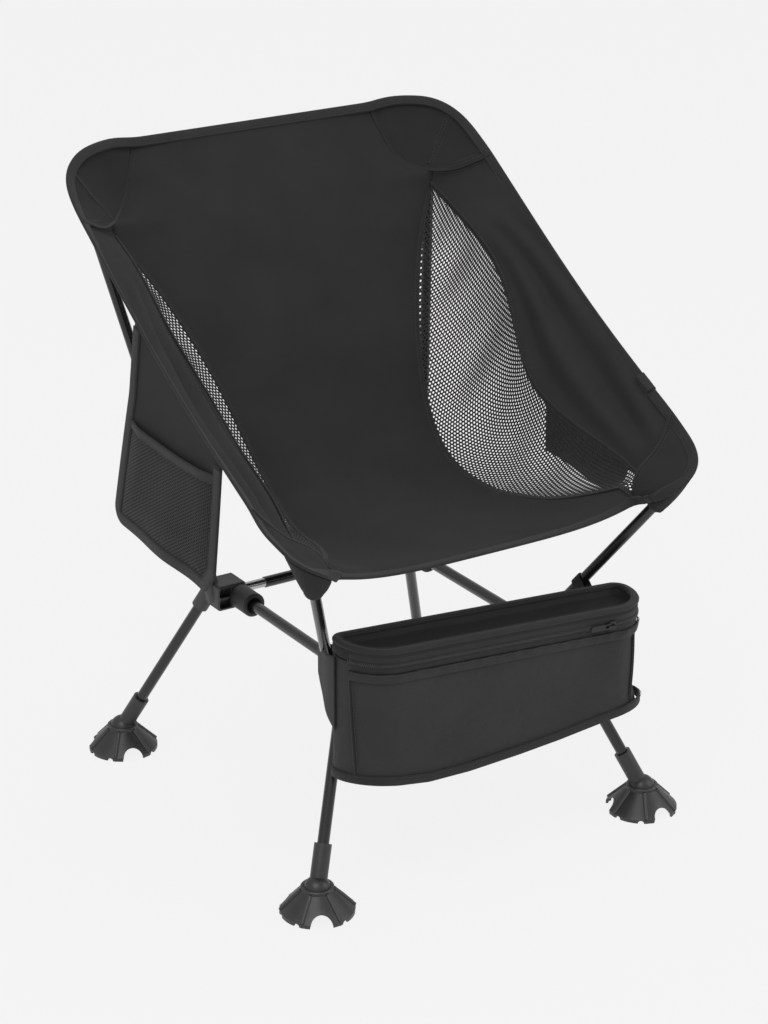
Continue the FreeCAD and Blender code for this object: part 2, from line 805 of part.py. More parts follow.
def centre_panel():
    """Back and seat in one curved panel, cut to its outline in plan, with a bound edge at each end."""
    gap = num("seam_gap")
    first = PROFILE.FirstParameter
    last = PROFILE.LastParameter
    length = PROFILE.length()
    bound = (last - first) * num("binding_width") / length
    seam = (last - first) * (num("binding_width") + gap) / length
    top_x = PANEL_CORNER_EDGE[0][0] - gap
    front_x = PANEL_WINDOW_EDGE[-1][0] - gap
    slab = hanging_sheet(first + seam, last - seam, num("fabric"), num("foot_front_x"))
    edges = [Part.makeLine(Vector(-top_x, PANEL_CORNER_EDGE[0][1], 0), Vector(top_x, PANEL_CORNER_EDGE[0][1], 0)),
             Part.makeLine(Vector(-front_x, PANEL_WINDOW_EDGE[-1][1], 0),
                           Vector(front_x, PANEL_WINDOW_EDGE[-1][1], 0))]
    for sign in SIDES.values():
        for outline in (PANEL_CORNER_EDGE, PANEL_WINDOW_EDGE):
            edges.append(spline([(sign * (x - gap), y, 0) for x, y in outline]).toShape())
    outline = Part.Face(Part.Wire(Part.__sortEdges__(edges)))
    solid_feature("seat_panel", slab.common(outline.extrude(Vector(0, 0, PANEL_PROFILE[0][1] * 1.2))))
    solid_feature("top_binding", panel_slab(first, first + bound, num("binding"), top_x))
    solid_feature("front_binding", hanging_sheet(last - bound, last, num("binding"), front_x))


def cone_shell(line, start, end, start_radius, end_radius):
    """Fabric cone round a pole, open where the pole enters and closed past its tip."""
    wall = num("fabric")
    length = end - start
    outside = Part.makeCone(start_radius, end_radius, length, line.at(start), line.way)
    inside = Part.makeCone(start_radius - wall, end_radius - wall, length - wall, line.at(start), line.way)
    return outside.cut(inside)


def corner_pocket(label, line, patch, cover, cone):
    """Reinforced corner: the patch in front and the cone that the pole's cap pushes into."""
    trimmed = cone.cut(cover)
    pieces = sorted(trimmed.Solids, key=lambda piece: piece.Volume)
    solid_feature(label, patch.fuse(pieces[-1]).removeSplitter())


def sling_side(name, side):
    """Everything of the sling that lies outside the centre panel on one side."""
    gap = num("seam_gap")
    bound = num("binding_width")
    fabric = num("fabric")
    window_inner = on_side(on_panel(PANEL_WINDOW_EDGE), side)
    window_outer = on_side(WINDOW_OUTER, side)
    side_edge = on_side(SIDE_EDGE, side)
    below = mirrored(BELOW_SIDE, side)
    wing = strip_shape(beside(side_edge, window_outer, gap), beside(window_outer, side_edge, bound + gap),
                       below, fabric)
    solid_feature(f"wing_{name}", wing)
    edge_line = sampled(side_edge)
    binding = strip_shape(edge_line, beside(window_outer, side_edge, bound), below, num("binding"))
    solid_feature(f"side_binding_{name}", binding)
    mesh = sagging_strip(beside(window_outer, window_inner, gap), beside(window_inner, window_outer, gap),
                         below, fabric)
    solid_feature(f"mesh_window_{name}", mesh)

    back_seam = on_side(on_panel(PANEL_CORNER_EDGE) + BACK_SEAM_END, side)
    back_outer = on_side(BACK_CORNER, side)
    back_way = mirrored(BELOW_BACK, side)
    patch_lines = (sampled(back_outer), beside(back_outer, back_seam, gap))
    patch = strip_shape(*patch_lines, back_way, fabric)
    cover = strip_shape(*patch_lines, Vector(*back_way).negative(), num("pocket_cover"))
    line = pole_line("rear", side)
    cone = cone_shell(line, line.length - num("back_pocket_depth"), line.length + num("back_pocket_room"),
                      num("back_pocket_mouth"), num("back_pocket_tip"))
    corner_pocket(f"back_corner_pocket_{name}", line, patch, cover, cone)

    front_outer = on_side(FRONT_CORNER, side)
    front_seam = on_side(FRONT_SEAM, side)
    front_way = mirrored(BELOW_CORNER, side)
    patch_lines = (sampled(front_outer), beside(front_outer, front_seam, gap))
    patch = strip_shape(*patch_lines, front_way, fabric)
    cover = strip_shape(*patch_lines, Vector(*front_way).negative(), num("pocket_cover"))
    line = pole_line("front", side)
    cone = cone_shell(line, line.length - num("front_pocket_depth"), line.length + num("front_pocket_room"),
                      num("front_pocket_mouth"), num("front_pocket_tip"))
    corner_pocket(f"front_corner_pocket_{name}", line, patch, cover, cone)


# Outlines with rounded corners

def rounded_outline(corners, radii):
    """Closed wire through corner points, each corner turned on its own radius."""
    corners = [Vector(*corner) for corner in corners]
    count = len(corners)
    edges = []
    last_end = None
    first_start = None
    for i in range(count):
        here = corners[i]
        back = (corners[i - 1] - here).normalize()
        ahead = (corners[(i + 1) % count] - here).normalize()
        half_angle = back.getAngle(ahead) / 2
        reach = radii[i] / math.tan(half_angle)
        start = here + back * reach
        end = here + ahead * reach
        if last_end is not None:
            edges.append(Part.makeLine(last_end, start))
        else:
            first_start = start
        if radii[i] > 0:
            middle_way = (back + ahead).normalize()
            middle = here + middle_way * (radii[i] / math.sin(half_angle) - radii[i])
            edges.append(Part.Arc(start, middle, end).toShape())
        last_end = end
    edges.append(Part.makeLine(last_end, first_start))
    return Part.Wire(edges)


def plate(corners, radii, push):
    return Part.Face(rounded_outline(corners, radii)).extrude(Vector(*push))


# Side pockets that hang from the side edges

# Corners of a side pocket below its hanging edge, as (y, z), from the rear round to the front
POCKET_REAR_Y = 45
POCKET_FRONT_Y = -122
POCKET_CORNERS = [(60, 470), (108, 320), (-80, 305), (-103, 330)]
POCKET_MOUTH = [(68, 447), (-119, 437)]


def side_pocket(name, side):
    """Fabric panel hung from the side binding, with a mesh pouch on its outer face."""
    edge = spline(SIDE_EDGE)
    top_rear = (POCKET_REAR_Y, height_at(edge, POCKET_REAR_Y))
    top_front = (POCKET_FRONT_Y, height_at(edge, POCKET_FRONT_Y))
    big = num("pocket_corner")
    x = SIDE_EDGE[0][0] - num("pocket_inset")
    outline = [top_rear] + POCKET_CORNERS + [top_front]
    radii = [0.0, num("pocket_waist"), big, big * 0.6, big * 0.6, 0.0]
    panel = plate([(side * x, y, z) for y, z in outline], radii, (side * num("fabric"), 0, 0))
    hanging_line = spline(on_side(SIDE_EDGE, side)).toShape()
    hanging_line.translate(Vector(-side * big, 0, -num("pocket_hang")))
    over_line = hanging_line.translated(Vector(0, 0, big * 2))
    above = Part.makeRuledSurface(hanging_line, over_line).extrude(Vector(side * big * 2, 0, 0))
    solid_feature(f"side_pocket_{name}", panel.cut(above))
    pouch_outline = [POCKET_MOUTH[0]] + POCKET_CORNERS[1:] + [POCKET_MOUTH[1]]
    pouch_radii = [0.0, big, big * 0.6, big * 0.6, 0.0]
    face_x = side * (x + num("fabric"))
    wall = num("fabric")
    outside = plate([(face_x, y, z) for y, z in pouch_outline], pouch_radii, (side * num("pocket_depth"), 0, 0))
    room = pouch_room(pouch_outline, pouch_radii, wall, face_x, side * (num("pocket_depth") - wall))
    solid_feature(f"pocket_mesh_{name}", outside.cut(room))


def pouch_room(outline, radii, inset, x, depth):
    """The room inside a pouch: its outline moved in by the wall, and open at the mouth."""
    wire = rounded_outline([(x, y, z) for y, z in outline], radii)
    smaller = wire.makeOffset2D(-inset)
    room = Part.Face(smaller).extrude(Vector(depth, 0, 0))
    low = min(z for y, z in outline)
    high = max(z for y, z in outline)
    rear = max(y for y, z in outline)
    front = min(y for y, z in outline)
    mouth_low = min(outline[0][1], outline[-1][1]) - inset * 4
    lift = room.copy()
    lift.translate(Vector(0, 0, inset * 3))
    above = Part.makeBox(abs(depth), rear - front, high - low, Vector(min(x, x + depth), front, mouth_low))
    return room.fuse(lift.common(above))


# Storage bag under the front of the seat, drawn about the middle of its rear wall's top

def bag_slope():
    return Rotation(Vector(0, 1, 0), num("bag_tilt"))


def bag_outline(grow, base):
    """Plan outline of the bag, rounder at its front corners, grown by a margin."""
    half = num("bag_length") / 2 + grow
    front = -num("bag_width") - grow
    corners = [(-half, grow, base), (half, grow, base), (half, front, base), (-half, front, base)]
    rear_radius = num("bag_rear_corner") + grow
    front_radius = num("bag_front_corner") + grow
    return Part.Face(rounded_outline(corners, [rear_radius, rear_radius, front_radius, front_radius]))


def bag_block(grow, low, high):
    return bag_outline(grow, low).extrude(Vector(0, 0, high - low))


def bag_ring(grow_out, grow_in, low, high):
    return bag_block(grow_out, low, high).cut(bag_block(grow_in, low, high))


def below_lid(top, depth):
    """Everything within a depth under a level of the tilted lid, about the upright body's own axes."""
    length = num("bag_length")
    width = num("bag_width")
    layer = Part.makeBox(length * 2, width * 3, depth, Vector(-length, -width * 2, top - depth))
    layer.Placement = Placement(Vector(0, 0, 0), bag_slope())
    return layer


def bag_feature(label, shape, turn):
    feature = solid_feature(label, shape)
    feature.Placement = Placement(Vector(num("bag_centre_x"), num("bag_rear_y"), num("bag_hinge_height")), turn)
    return feature


def bag():
    """Upright body with a level floor, and a tilted lid that folds back along its rear binding."""
    wall = num("bag_wall")
    gap = num("seam_gap")
    low = -num("bag_height")
    spare = num("bag_width")
    lid_top = num("lid_height")
    upright = Rotation()
    tilted = bag_slope()
    body = bag_block(0, low, spare).cut(bag_block(-wall, low + wall, spare))
    bag_feature("bag_body", body.common(below_lid(-gap, num("bag_height") * 2)), upright)
    base_rim = bag_ring(num("base_rim_overhang"), 0, low, low + num("base_rim_height"))
    bag_feature("bag_base_rim", base_rim, upright)
    floor = lid_top - num("lid_sink")
    lid = bag_block(0, 0, lid_top)
    lid = lid.cut(bag_block(-num("rim_width"), floor, lid_top)).cut(bag_block(-wall, 0, floor - wall))
    bag_feature("bag_lid", lid, tilted)
    rim = bag_ring(num("rim_overhang"), -num("rim_width"), lid_top, lid_top + num("rim_rise"))
    bag_feature("bag_lid_rim", rim, tilted)
    tape = num("tape_thickness")
    width = num("tape_width")
    rear = Part.makeBox(num("bag_length") * 2, num("bag_width"), num("bag_height"),
                        Vector(-num("bag_length"), -num("bag_rear_corner"), -num("bag_height") / 2))
    lower = bag_ring(tape, 0, low, spare).common(below_lid(-gap, width)).cut(rear)
    bag_feature("zip_tape_lower", lower, upright)
    bag_feature("zip_tape_upper", bag_ring(tape, 0, gap, gap + width).cut(rear), tilted)


def zip_slider():
    """Slider on the zip line, with the arched bridge that its pull turns under."""
    face = -num("bag_width") - num("tape_thickness") - num("seam_gap")
    length = num("slider_length")
    width = num("slider_width")
    thick = num("slider_height")
    x = num("slider_place")
    nose = width * 0.3
    corners = [(x - length / 2, face, -nose), (x - length / 2, face, nose), (x, face, width / 2),
               (x + length / 2, face, width / 2), (x + length / 2, face, -width / 2), (x, face, -width / 2)]
    plate_shape = plate(corners, [0.8] * 6, (0, -thick / 2, 0))
    bar = thick * 0.22
    bridge_reach = thick * 0.5 + bar
    outer = Part.makeBox(length * 0.7, bridge_reach, bar * 2,
                         Vector(x - length * 0.35, face - thick / 2 - bridge_reach, -bar))
    inner = Part.makeBox(length * 0.7 - bar * 4, bridge_reach - bar, bar * 2,
                         Vector(x - length * 0.35 + bar * 2, face - thick / 2 - bridge_reach + bar, -bar))
    bag_feature("zip_slider", plate_shape.fuse(outer.cut(inner)), bag_slope())


def zip_pull():
    """Flat pull whose crossbar lies under the slider's bridge; it rests along the zip."""
    face = -num("bag_width") - num("tape_thickness") - num("seam_gap") - num("slider_height") / 2
    thick = num("pull_thickness")
    width = num("pull_width")
    length = num("pull_length")
    bar = num("slider_height") * 0.22
    clear = num("seam_gap")
    pivot = num("slider_place") - num("slider_length") * 0.35 + bar * 2 + clear + thick / 2
    corners = [(pivot + thick / 2, face - clear, -width / 2), (pivot + thick / 2, face - clear, width / 2),
               (pivot - length, face - clear, width / 2), (pivot - length, face - clear, -width / 2)]
    tab = plate(corners, [0.2, 0.2, width * 0.45, width * 0.45], (0, -thick, 0))
    slot = Part.makeBox(width * 0.9, thick * 3, bar * 2 + clear * 2,
                        Vector(pivot - thick / 2 - width * 0.9, face - clear - thick * 2, -bar - clear))
    bag_feature("zip_pull", tab.cut(slot), bag_slope())


def bag_straps():
    """Webbing that carries the bag: a loop round each seat pole, sewn to the bag's rear wall."""
    webbing = num("strap_thickness")
    width = num("loop_width")
    inner = num("pole_diameter") / 2 + num("seam_gap")
    wall_y = num("bag_rear_y")
    loops = []
    for name, side in SIDES.items():
        pole = pole_line("front", side)
        place = pole.at(num(f"loop_place_{name}"))
        toward_bag = Vector(0, -1, 0)
        toward_bag = (toward_bag - pole.way * pole.way.dot(toward_bag)).normalize()
        reach = (place.y - wall_y) / -toward_bag.y + inner
        around = aligned(place, pole.way)
        across = pole.way.cross(toward_bag)
        turn = around.Rotation.inverted().multVec(across)
        around.Rotation = around.Rotation.multiply(Rotation(Vector(0, 1, 0), turn))
        outside = loop_block(inner + webbing, reach, width)
        inside = loop_block(inner, reach, width)
        loop = outside.cut(inside)
        loop.Placement = around
        behind = Part.makeBox(num("bag_length") * 2, num("bag_length"), num("bag_length"),
                              Vector(-num("bag_length"), wall_y + num("seam_gap"), num("ball_height")))
        loops.append(loop.common(behind))
    solid_feature("bag_straps", Part.makeCompound(loops))


def loop_block(radius, reach, width):
    """Rod with a flat-sided run out to one side, the shape that webbing takes round a pole."""
    rod = Part.makeCylinder(radius, width)
    run = Part.makeBox(reach, radius * 2, width, Vector(0, -radius, 0))
    return rod.fuse(run)


frame_parts()
centre_panel()
for side_name, side_sign in SIDES.items():
    sling_side(side_name, side_sign)
    side_pocket(side_name, side_sign)
bag()
zip_slider()
zip_pull()
bag_straps()


# Every object has to be sound before anything is written

def check_document():
    for obj in doc.Objects:
        if "Invalid" in obj.State or "Error" in obj.State:
            raise RuntimeError(f"{obj.Label} did not recompute: {obj.State}")
    for part in subparts:
        if part.Shape.isNull() or not part.Shape.isValid() or not part.Shape.Solids:
            raise RuntimeError(f"{part.Label} has no sound solid")


def export_parts():
    os.makedirs("parts", exist_ok=True)
    for part in subparts:
        part.Shape.exportStep(f"parts/{part.Label}.step")
        print(f"{part.Label}: {len(part.Shape.Solids)} solid(s), {part.Shape.Volume:.0f} mm3")


doc.recompute()
check_document()
export_parts()
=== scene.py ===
"""Looks for the backpacking chair: sling, mesh, pockets, bag, zip and moulded parts round the CAD frame."""
import json
import math

import bpy
import numpy as np
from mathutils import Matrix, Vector


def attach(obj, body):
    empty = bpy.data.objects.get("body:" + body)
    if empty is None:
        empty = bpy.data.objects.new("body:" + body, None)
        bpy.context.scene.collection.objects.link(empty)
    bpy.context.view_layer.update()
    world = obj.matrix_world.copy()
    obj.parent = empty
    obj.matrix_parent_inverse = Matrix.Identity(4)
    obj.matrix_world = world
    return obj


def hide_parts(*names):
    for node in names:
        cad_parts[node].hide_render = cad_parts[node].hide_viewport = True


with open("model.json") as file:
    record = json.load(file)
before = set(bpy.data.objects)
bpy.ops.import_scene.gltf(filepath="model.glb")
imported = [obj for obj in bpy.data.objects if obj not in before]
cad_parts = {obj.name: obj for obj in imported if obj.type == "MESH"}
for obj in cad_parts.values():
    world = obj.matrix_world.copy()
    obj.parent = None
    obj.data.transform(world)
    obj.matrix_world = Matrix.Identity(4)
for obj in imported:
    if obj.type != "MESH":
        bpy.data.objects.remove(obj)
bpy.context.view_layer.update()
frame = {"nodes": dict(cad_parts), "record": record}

MM = 0.001


# Camera, fitted to the photograph
camera_data = bpy.data.cameras.new("camera")
camera = bpy.data.objects.new("camera", camera_data)
bpy.context.scene.collection.objects.link(camera)
bpy.context.scene.camera = camera
camera_data.lens = 97.2
camera_data.sensor_width = 36
camera_data.clip_end = 50
camera.location = (-1.4234, -2.2514, 1.3863)
back = Vector((-0.49822504, -0.78169139, 0.37514048))
camera.rotation_mode = "QUATERNION"
camera.rotation_quaternion = (-back).to_track_quat("-Z", "Y")


# Node helpers

class Nodes:
    """Short way to build a material's nodes."""

    def __init__(self, name):
        self.material = bpy.data.materials.new(name)
        self.material.use_nodes = True
        self.tree = self.material.node_tree
        self.shader = self.tree.nodes["Principled BSDF"]
        self.output = self.tree.nodes["Material Output"]

    def add(self, kind, inputs=None, **settings):
        node = self.tree.nodes.new(kind)
        for key, value in settings.items():
            setattr(node, key, value)
        for key, value in (inputs or {}).items():
            self.plug(node, key, value)
        return node

    def plug(self, node, key, value):
        socket = node.inputs[key]
        if isinstance(value, bpy.types.NodeSocket):
            self.tree.links.new(value, socket)
        elif isinstance(value, bpy.types.Node):
            self.tree.links.new(value.outputs[0], socket)
        else:
            socket.default_value = value

    def set(self, **values):
        for key, value in values.items():
            self.plug(self.shader, key.replace("_", " "), value)

    def math(self, operation, a, b=0.0, c=0.0):
        node = self.add("ShaderNodeMath", {0: a, 1: b, 2: c}, operation=operation)
        return node.outputs[0]

    def ramp(self, factor, stops):
        node = self.add("ShaderNodeValToRGB", {0: factor})
        elements = node.color_ramp.elements
        while len(elements) < len(stops):
            elements.new(0.5)
        for element, (place, colour) in zip(elements, stops):
            element.position = place
            element.color = colour
        return node.outputs[0]

    def noise(self, vector, scale, detail=3.0, rough=0.5):
        return self.add("ShaderNodeTexNoise", {"Vector": vector, "Scale": scale, "Detail": detail,
                                               "Roughness": rough}).outputs["Fac"]

    def uv(self):
        return self.add("ShaderNodeTexCoord").outputs["UV"]

    def place(self):
        return self.add("ShaderNodeTexCoord").outputs["Object"]

    def wave(self, vector, scale, direction="X", distortion=0.0, detail=2.0, detail_scale=1.0):
        inputs = {"Vector": vector, "Scale": scale, "Distortion": distortion, "Detail": detail,
                  "Detail Scale": detail_scale}
        return self.add("ShaderNodeTexWave", inputs, bands_direction=direction).outputs["Fac"]

    def mixed(self, factor, a, b):
        return self.add("ShaderNodeMix", {"Factor": factor, 6: a, 7: b}, data_type="RGBA").outputs[2]

    def scaled_sum(self, a, share, b):
        return self.math("ADD", self.math("MULTIPLY", a, share), b)

    def bump(self, height, strength, distance, normal=None):
        inputs = {"Height": height, "Strength": strength, "Distance": distance}
        if normal is not None:
            inputs["Normal"] = normal
        return self.add("ShaderNodeBump", inputs).outputs[0]


def grey(value):
    return (value, value, value, 1.0)


def cloth_material(name, value, thread, sheen, rough=0.86, crinkle=0.0, ripstop=0.0):
    """Woven cloth: crossing threads in metres along the piece's own map, slubs, rubbed spots and sheen."""
    n = Nodes(name)
    uv = n.uv()
    place = n.place()
    threads = [n.wave(uv, 1 / thread / 3.2, way, 0.6, 1.0, 2.0) for way in "XY"]
    weave = n.math("MULTIPLY", *threads)
    patches = n.noise(place, 14.0, 4.0, 0.55)
    slubs = n.noise(uv, 900.0, 2.0, 0.6)
    tone = n.scaled_sum(patches, 0.55, n.math("MULTIPLY", slubs, 0.45))
    colour = n.ramp(tone, [(0.3, grey(value * 0.78)), (0.7, grey(value * 1.24))])
    n.set(Base_Color=n.mixed(n.math("MULTIPLY", weave, 0.35), colour, grey(value * 1.35)))
    n.set(Roughness=n.scaled_sum(slubs, 0.12, rough - 0.06))
    n.set(Sheen_Weight=sheen, Sheen_Roughness=0.45, Specular_IOR_Level=0.2)
    normal = n.bump(weave, 0.28, thread * 0.6)
    if ripstop:
        grid = n.add("ShaderNodeTexBrick", {
            "Vector": uv, "Scale": 1.0, "Mortar Size": 0.00022, "Brick Width": ripstop, "Row Height": ripstop,
            "Color1": grey(0.0), "Color2": grey(0.0), "Mortar": grey(1.0)}, offset=0.0)
        normal = n.bump(grid.outputs["Color"], 0.4, 0.0003, normal)
    if crinkle:
        folds = n.add("ShaderNodeTexNoise", {"Vector": place, "Scale": 34.0, "Detail": 4.0, "Roughness": 0.52,
                                             "Distortion": 0.8}).outputs["Fac"]
        fine = n.add("ShaderNodeTexVoronoi", {"Vector": place, "Scale": 95.0}, feature="SMOOTH_F1").outputs[0]
        normal = n.bump(n.math("ADD", folds, n.math("MULTIPLY", fine, 0.35)), crinkle, 0.004, normal)
    else:
        normal = n.bump(n.noise(place, 22.0, 3.0, 0.5), 0.16, 0.004, normal)
    n.set(Normal=normal)
    return n.material


def tape_material(name, value):
    """Narrow woven tape: fine cross ribs, a raised selvedge feel and slightly rubbed threads."""
    n = Nodes(name)
    uv = n.uv()
    place = n.place()
    ribs = n.wave(uv, 260.0, "X", 0.35, 1.0)
    rows = n.wave(uv, 330.0, "Y", 0.3, 1.0)
    rub = n.noise(place, 45.0, 4.0, 0.6)
    colour = n.ramp(rub, [(0.32, grey(value * 0.75)), (0.72, grey(value * 1.3))])
    n.set(Base_Color=n.mixed(n.math("MULTIPLY", ribs, 0.3), colour, grey(value * 1.5)))
    n.set(Roughness=n.scaled_sum(rub, 0.15, 0.72))
    n.set(Sheen_Weight=0.08, Specular_IOR_Level=0.3)
    n.set(Normal=n.bump(rows, 0.25, 0.0003, n.bump(ribs, 0.45, 0.0005)))
    return n.material


def moulded_material(name, value, rough, grain, wear=0.0):
    """Moulded plastic: fine spark-eroded grain, handling marks and lighter worn edges."""
    n = Nodes(name)
    place = n.place()
    fine = n.noise(place, 2600.0, 2.0, 0.5)
    marks = n.noise(place, 60.0, 5.0, 0.62)
    pointed = n.add("ShaderNodeNewGeometry").outputs["Pointiness"]
    edge = n.ramp(pointed, [(0.5, grey(0.0)), (0.58, grey(1.0))])
    colour = n.ramp(marks, [(0.3, grey(value * 0.8)), (0.75, grey(value * 1.25))])
    n.set(Base_Color=n.mixed(n.math("MULTIPLY", edge, wear), colour, grey(value * 3.0)))
    n.set(Roughness=n.scaled_sum(marks, 0.16, rough - 0.08))
    n.set(Specular_IOR_Level=0.5)
    n.set(Normal=n.bump(fine, grain, 0.00025, n.bump(marks, 0.06, 0.001)))
    return n.material


def metal_material(name, value, rough, metallic, along=0.0, coat=0.0):
    """Anodised or turned metal: drawn lines along the tube, faint smudges and small scratches."""
    n = Nodes(name)
    place = n.place()
    smudge = n.noise(place, 30.0, 4.0, 0.6)
    speck = n.noise(place, 1400.0, 2.0, 0.5)
    scratch = n.wave(place, 420.0, "X", 9.0, 4.0, 1.4)
    colour = n.ramp(smudge, [(0.3, grey(value * 0.85)), (0.75, grey(value * 1.2))])
    n.set(Base_Color=colour, Metallic=metallic)
    n.set(Roughness=n.scaled_sum(smudge, 0.14, rough - 0.07))
    n.set(Coat_Weight=coat, Coat_Roughness=0.12, Specular_IOR_Level=0.5)
    n.set(Normal=n.bump(speck, 0.05, 0.0002, n.bump(scratch, along, 0.0001)))
    return n.material


def cord_material(name, value):
    """Braided cord: two families of diagonal strands."""
    n = Nodes(name)
    place = n.place()
    strands = []
    for turn in (0.6, -0.6):
        mapping = n.add("ShaderNodeMapping", {"Vector": place, "Rotation": (turn, turn, 0.3)})
        strands.append(n.wave(mapping, 300.0, "Z"))
    braid = n.math("MAXIMUM", *strands)
    n.set(Base_Color=n.ramp(braid, [(0.2, grey(value * 0.6)), (0.8, grey(value * 1.4))]), Roughness=0.85)
    n.set(Normal=n.bump(braid, 0.5, 0.0004))
    return n.material


MATERIALS = {
    "tube": metal_material("tube", 0.012, 0.27, 0.35, along=0.03, coat=0.35),
    "ferrule": metal_material("ferrule", 0.45, 0.24, 1.0, along=0.12),
    "hub": moulded_material("hub", 0.03, 0.5, 0.2, wear=0.3),
    "collar": moulded_material("collar", 0.010, 0.55, 0.2, wear=0.2),
    "cap": moulded_material("cap", 0.02, 0.5, 0.2),
    "stud": moulded_material("stud", 0.016, 0.4, 0.15, wear=0.25),
    "foot": moulded_material("foot", 0.016, 0.42, 0.25, wear=0.35),
    "cord": cord_material("cord", 0.03),
    "fabric": cloth_material("fabric", 0.0195, 0.0005, 0.03),
    "back_patch": cloth_material("back_patch", 0.0175, 0.0007, 0.03),
    "mesh": tape_material("mesh", 0.015),
    "pouch_mesh": tape_material("pouch_mesh", 0.006),
    "pocket": cloth_material("pocket", 0.0165, 0.0005, 0.03),
    "binding": tape_material("binding", 0.0135),
    "welt": tape_material("welt", 0.012),
    "thread": cord_material("thread", 0.035),
    "bag": cloth_material("bag", 0.0235, 0.0004, 0.03, rough=0.62, crinkle=0.45, ripstop=0.005),
    "bag_lid": cloth_material("bag_lid", 0.015, 0.0004, 0.02, rough=0.7),
    "bag_flap": cloth_material("bag_flap", 0.0225, 0.0004, 0.03, rough=0.6, crinkle=0.9, ripstop=0.005),
    "bag_trim": tape_material("bag_trim", 0.014),
    "tape": tape_material("tape", 0.015),
    "teeth": moulded_material("teeth", 0.03, 0.3, 0.05),
    "slider": metal_material("slider", 0.02, 0.3, 0.6, coat=0.2),
}


# CAD nodes that stay in view take the detailed materials
def dress(obj, material):
    obj.data.materials.clear()
    obj.data.materials.append(MATERIALS[material])


slot_of = {part["node"]: part["material_slot"] for part in frame["record"]["subparts"]}
for node, obj in frame["nodes"].items():
    dress(obj, {"seat_panel": "fabric"}.get(node, slot_of[node]))


# Curves and surfaces, in millimetres; sides are +1 for the right and -1 for the left

def curve(points, count):
    """Evenly spaced points on a smooth curve through the given ones (natural cubic on chord length)."""
    p = np.array(points, float)
    t = run_along(p)
    n = len(p)
    h = np.diff(t)
    a = np.zeros((n, n))
    b = np.zeros((n, p.shape[1]))
    a[0, 0] = a[-1, -1] = 1
    for i in range(1, n - 1):
        a[i, i - 1] = h[i - 1]
        a[i, i] = 2 * (h[i - 1] + h[i])
        a[i, i + 1] = h[i]
        b[i] = 6 * ((p[i + 1] - p[i]) / h[i] - (p[i] - p[i - 1]) / h[i - 1])
    m = np.linalg.solve(a, b)
    dense = np.linspace(0, t[-1], 600)
    k = np.clip(np.searchsorted(t, dense, side="right") - 1, 0, n - 2)
    u = (dense - t[k])[:, None]
    w = (t[k + 1] - dense)[:, None]
    hk = h[k][:, None]
    q = (m[k] * w ** 3 + m[k + 1] * u ** 3) / (6 * hk)
    q += (p[k] / hk - m[k] * hk / 6) * w + (p[k + 1] / hk - m[k + 1] * hk / 6) * u
    return evened(q, count)


def run_along(points):
    """Distance from a line's start to each of its points."""
    return np.concatenate([[0], np.cumsum(np.linalg.norm(np.diff(points, axis=0), axis=1))])


def closed_up(points):
    """The same line with its first point again at its end."""
    return np.concatenate([points, points[:1]])


def evened(points, count):
    """The same line with evenly spaced points."""
    p = np.array(points, float)
    s = run_along(p)
    where = np.linspace(0, s[-1], count)
    return np.stack([np.interp(where, s, p[:, i]) for i in range(p.shape[1])], axis=1)


def length_of(points):
    return float(np.linalg.norm(np.diff(points, axis=0), axis=1).sum())


def sided(points, side):
    return np.array(points, float) * np.array([side, 1, 1])


def unit(v):
    v = np.array(v, float)
    return v / np.maximum(np.linalg.norm(v, axis=-1, keepdims=True), 1e-9)


# The sling's middle line, from the top of the back to the front of the seat
PROFILE = curve([(0, 238, 674), (0, 178, 565), (0, 98, 427), (0, 47, 359), (0, 5, 333), (0, -60, 325),
                 (0, -140, 332), (0, -212, 352)], 400)


def panel_height(y):
    return np.interp(-np.asarray(y, float), -PROFILE[:, 1], PROFILE[:, 2])


def sag_at(x, y):
    """How far the seat hangs below its side-view curve: most at the middle of the front edge."""
    ahead = np.clip((-60 - np.asarray(y, float)) / 142, 0, None)
    return 12.0 * ahead ** 2 * np.clip(1 - (np.asarray(x, float) / 177) ** 4, 0, None)


def edge_rise(y):
    """How far the panel's side edges are drawn up towards the wings near the front."""
    return np.interp(-np.asarray(y, float), [55, 79, 123, 159, 190, 212], [0, 3, 8, 14, 18, 0])


def on_panel(points):
    p = np.array(points, float)
    height = panel_height(p[:, 1]) - sag_at(p[:, 0], p[:, 1]) + edge_rise(p[:, 1])
    return np.column_stack([p[:, 0], p[:, 1], height])


def extended(line, before, after):
    """The line carried straight on past its two ends."""
    start = line[0] + unit(line[0] - line[2]) * before
    end = line[-1] + unit(line[-1] - line[-3]) * after
    return np.concatenate([[start], line, [end]])


# Lines of the sling's right side. The window's edge is a plan on the panel, the rest are points in space.
WINDOW_EDGE = [(192, 189), (177, 177), (143, 140), (119, 98), (107, 47), (107, 20), (113, -25), (121, -79),
               (136, -123), (157, -159), (175, -190), (178, -202)]
WINDOW_OUTER = [(193, 185, 586), (194, 151, 572), (198, 64, 520), (184, 6, 460), (178, -25, 429),
                (178, -57, 412), (181, -91, 401), (188, -129, 390), (195, -160, 380), (197, -188, 371)]
SIDE_EDGE = [(248, 153, 622), (248, 119, 599), (248, -39, 497), (248, -176, 424)]
BACK_CORNER = [(143, 238, 674), (167, 237, 677), (192, 229, 677), (212, 222, 674), (226, 214, 668),
               (238, 203, 658), (246, 180, 640), (248, 153, 622)]
BACK_SEAM = [(143, 238, 674), (147, 237, 659), (154, 231, 641), (164, 223, 620), (176, 211, 608),
             (195, 191, 602)]
BACK_SEAM_END = [(217, 172, 606), (238, 157, 617), (247, 152, 621)]
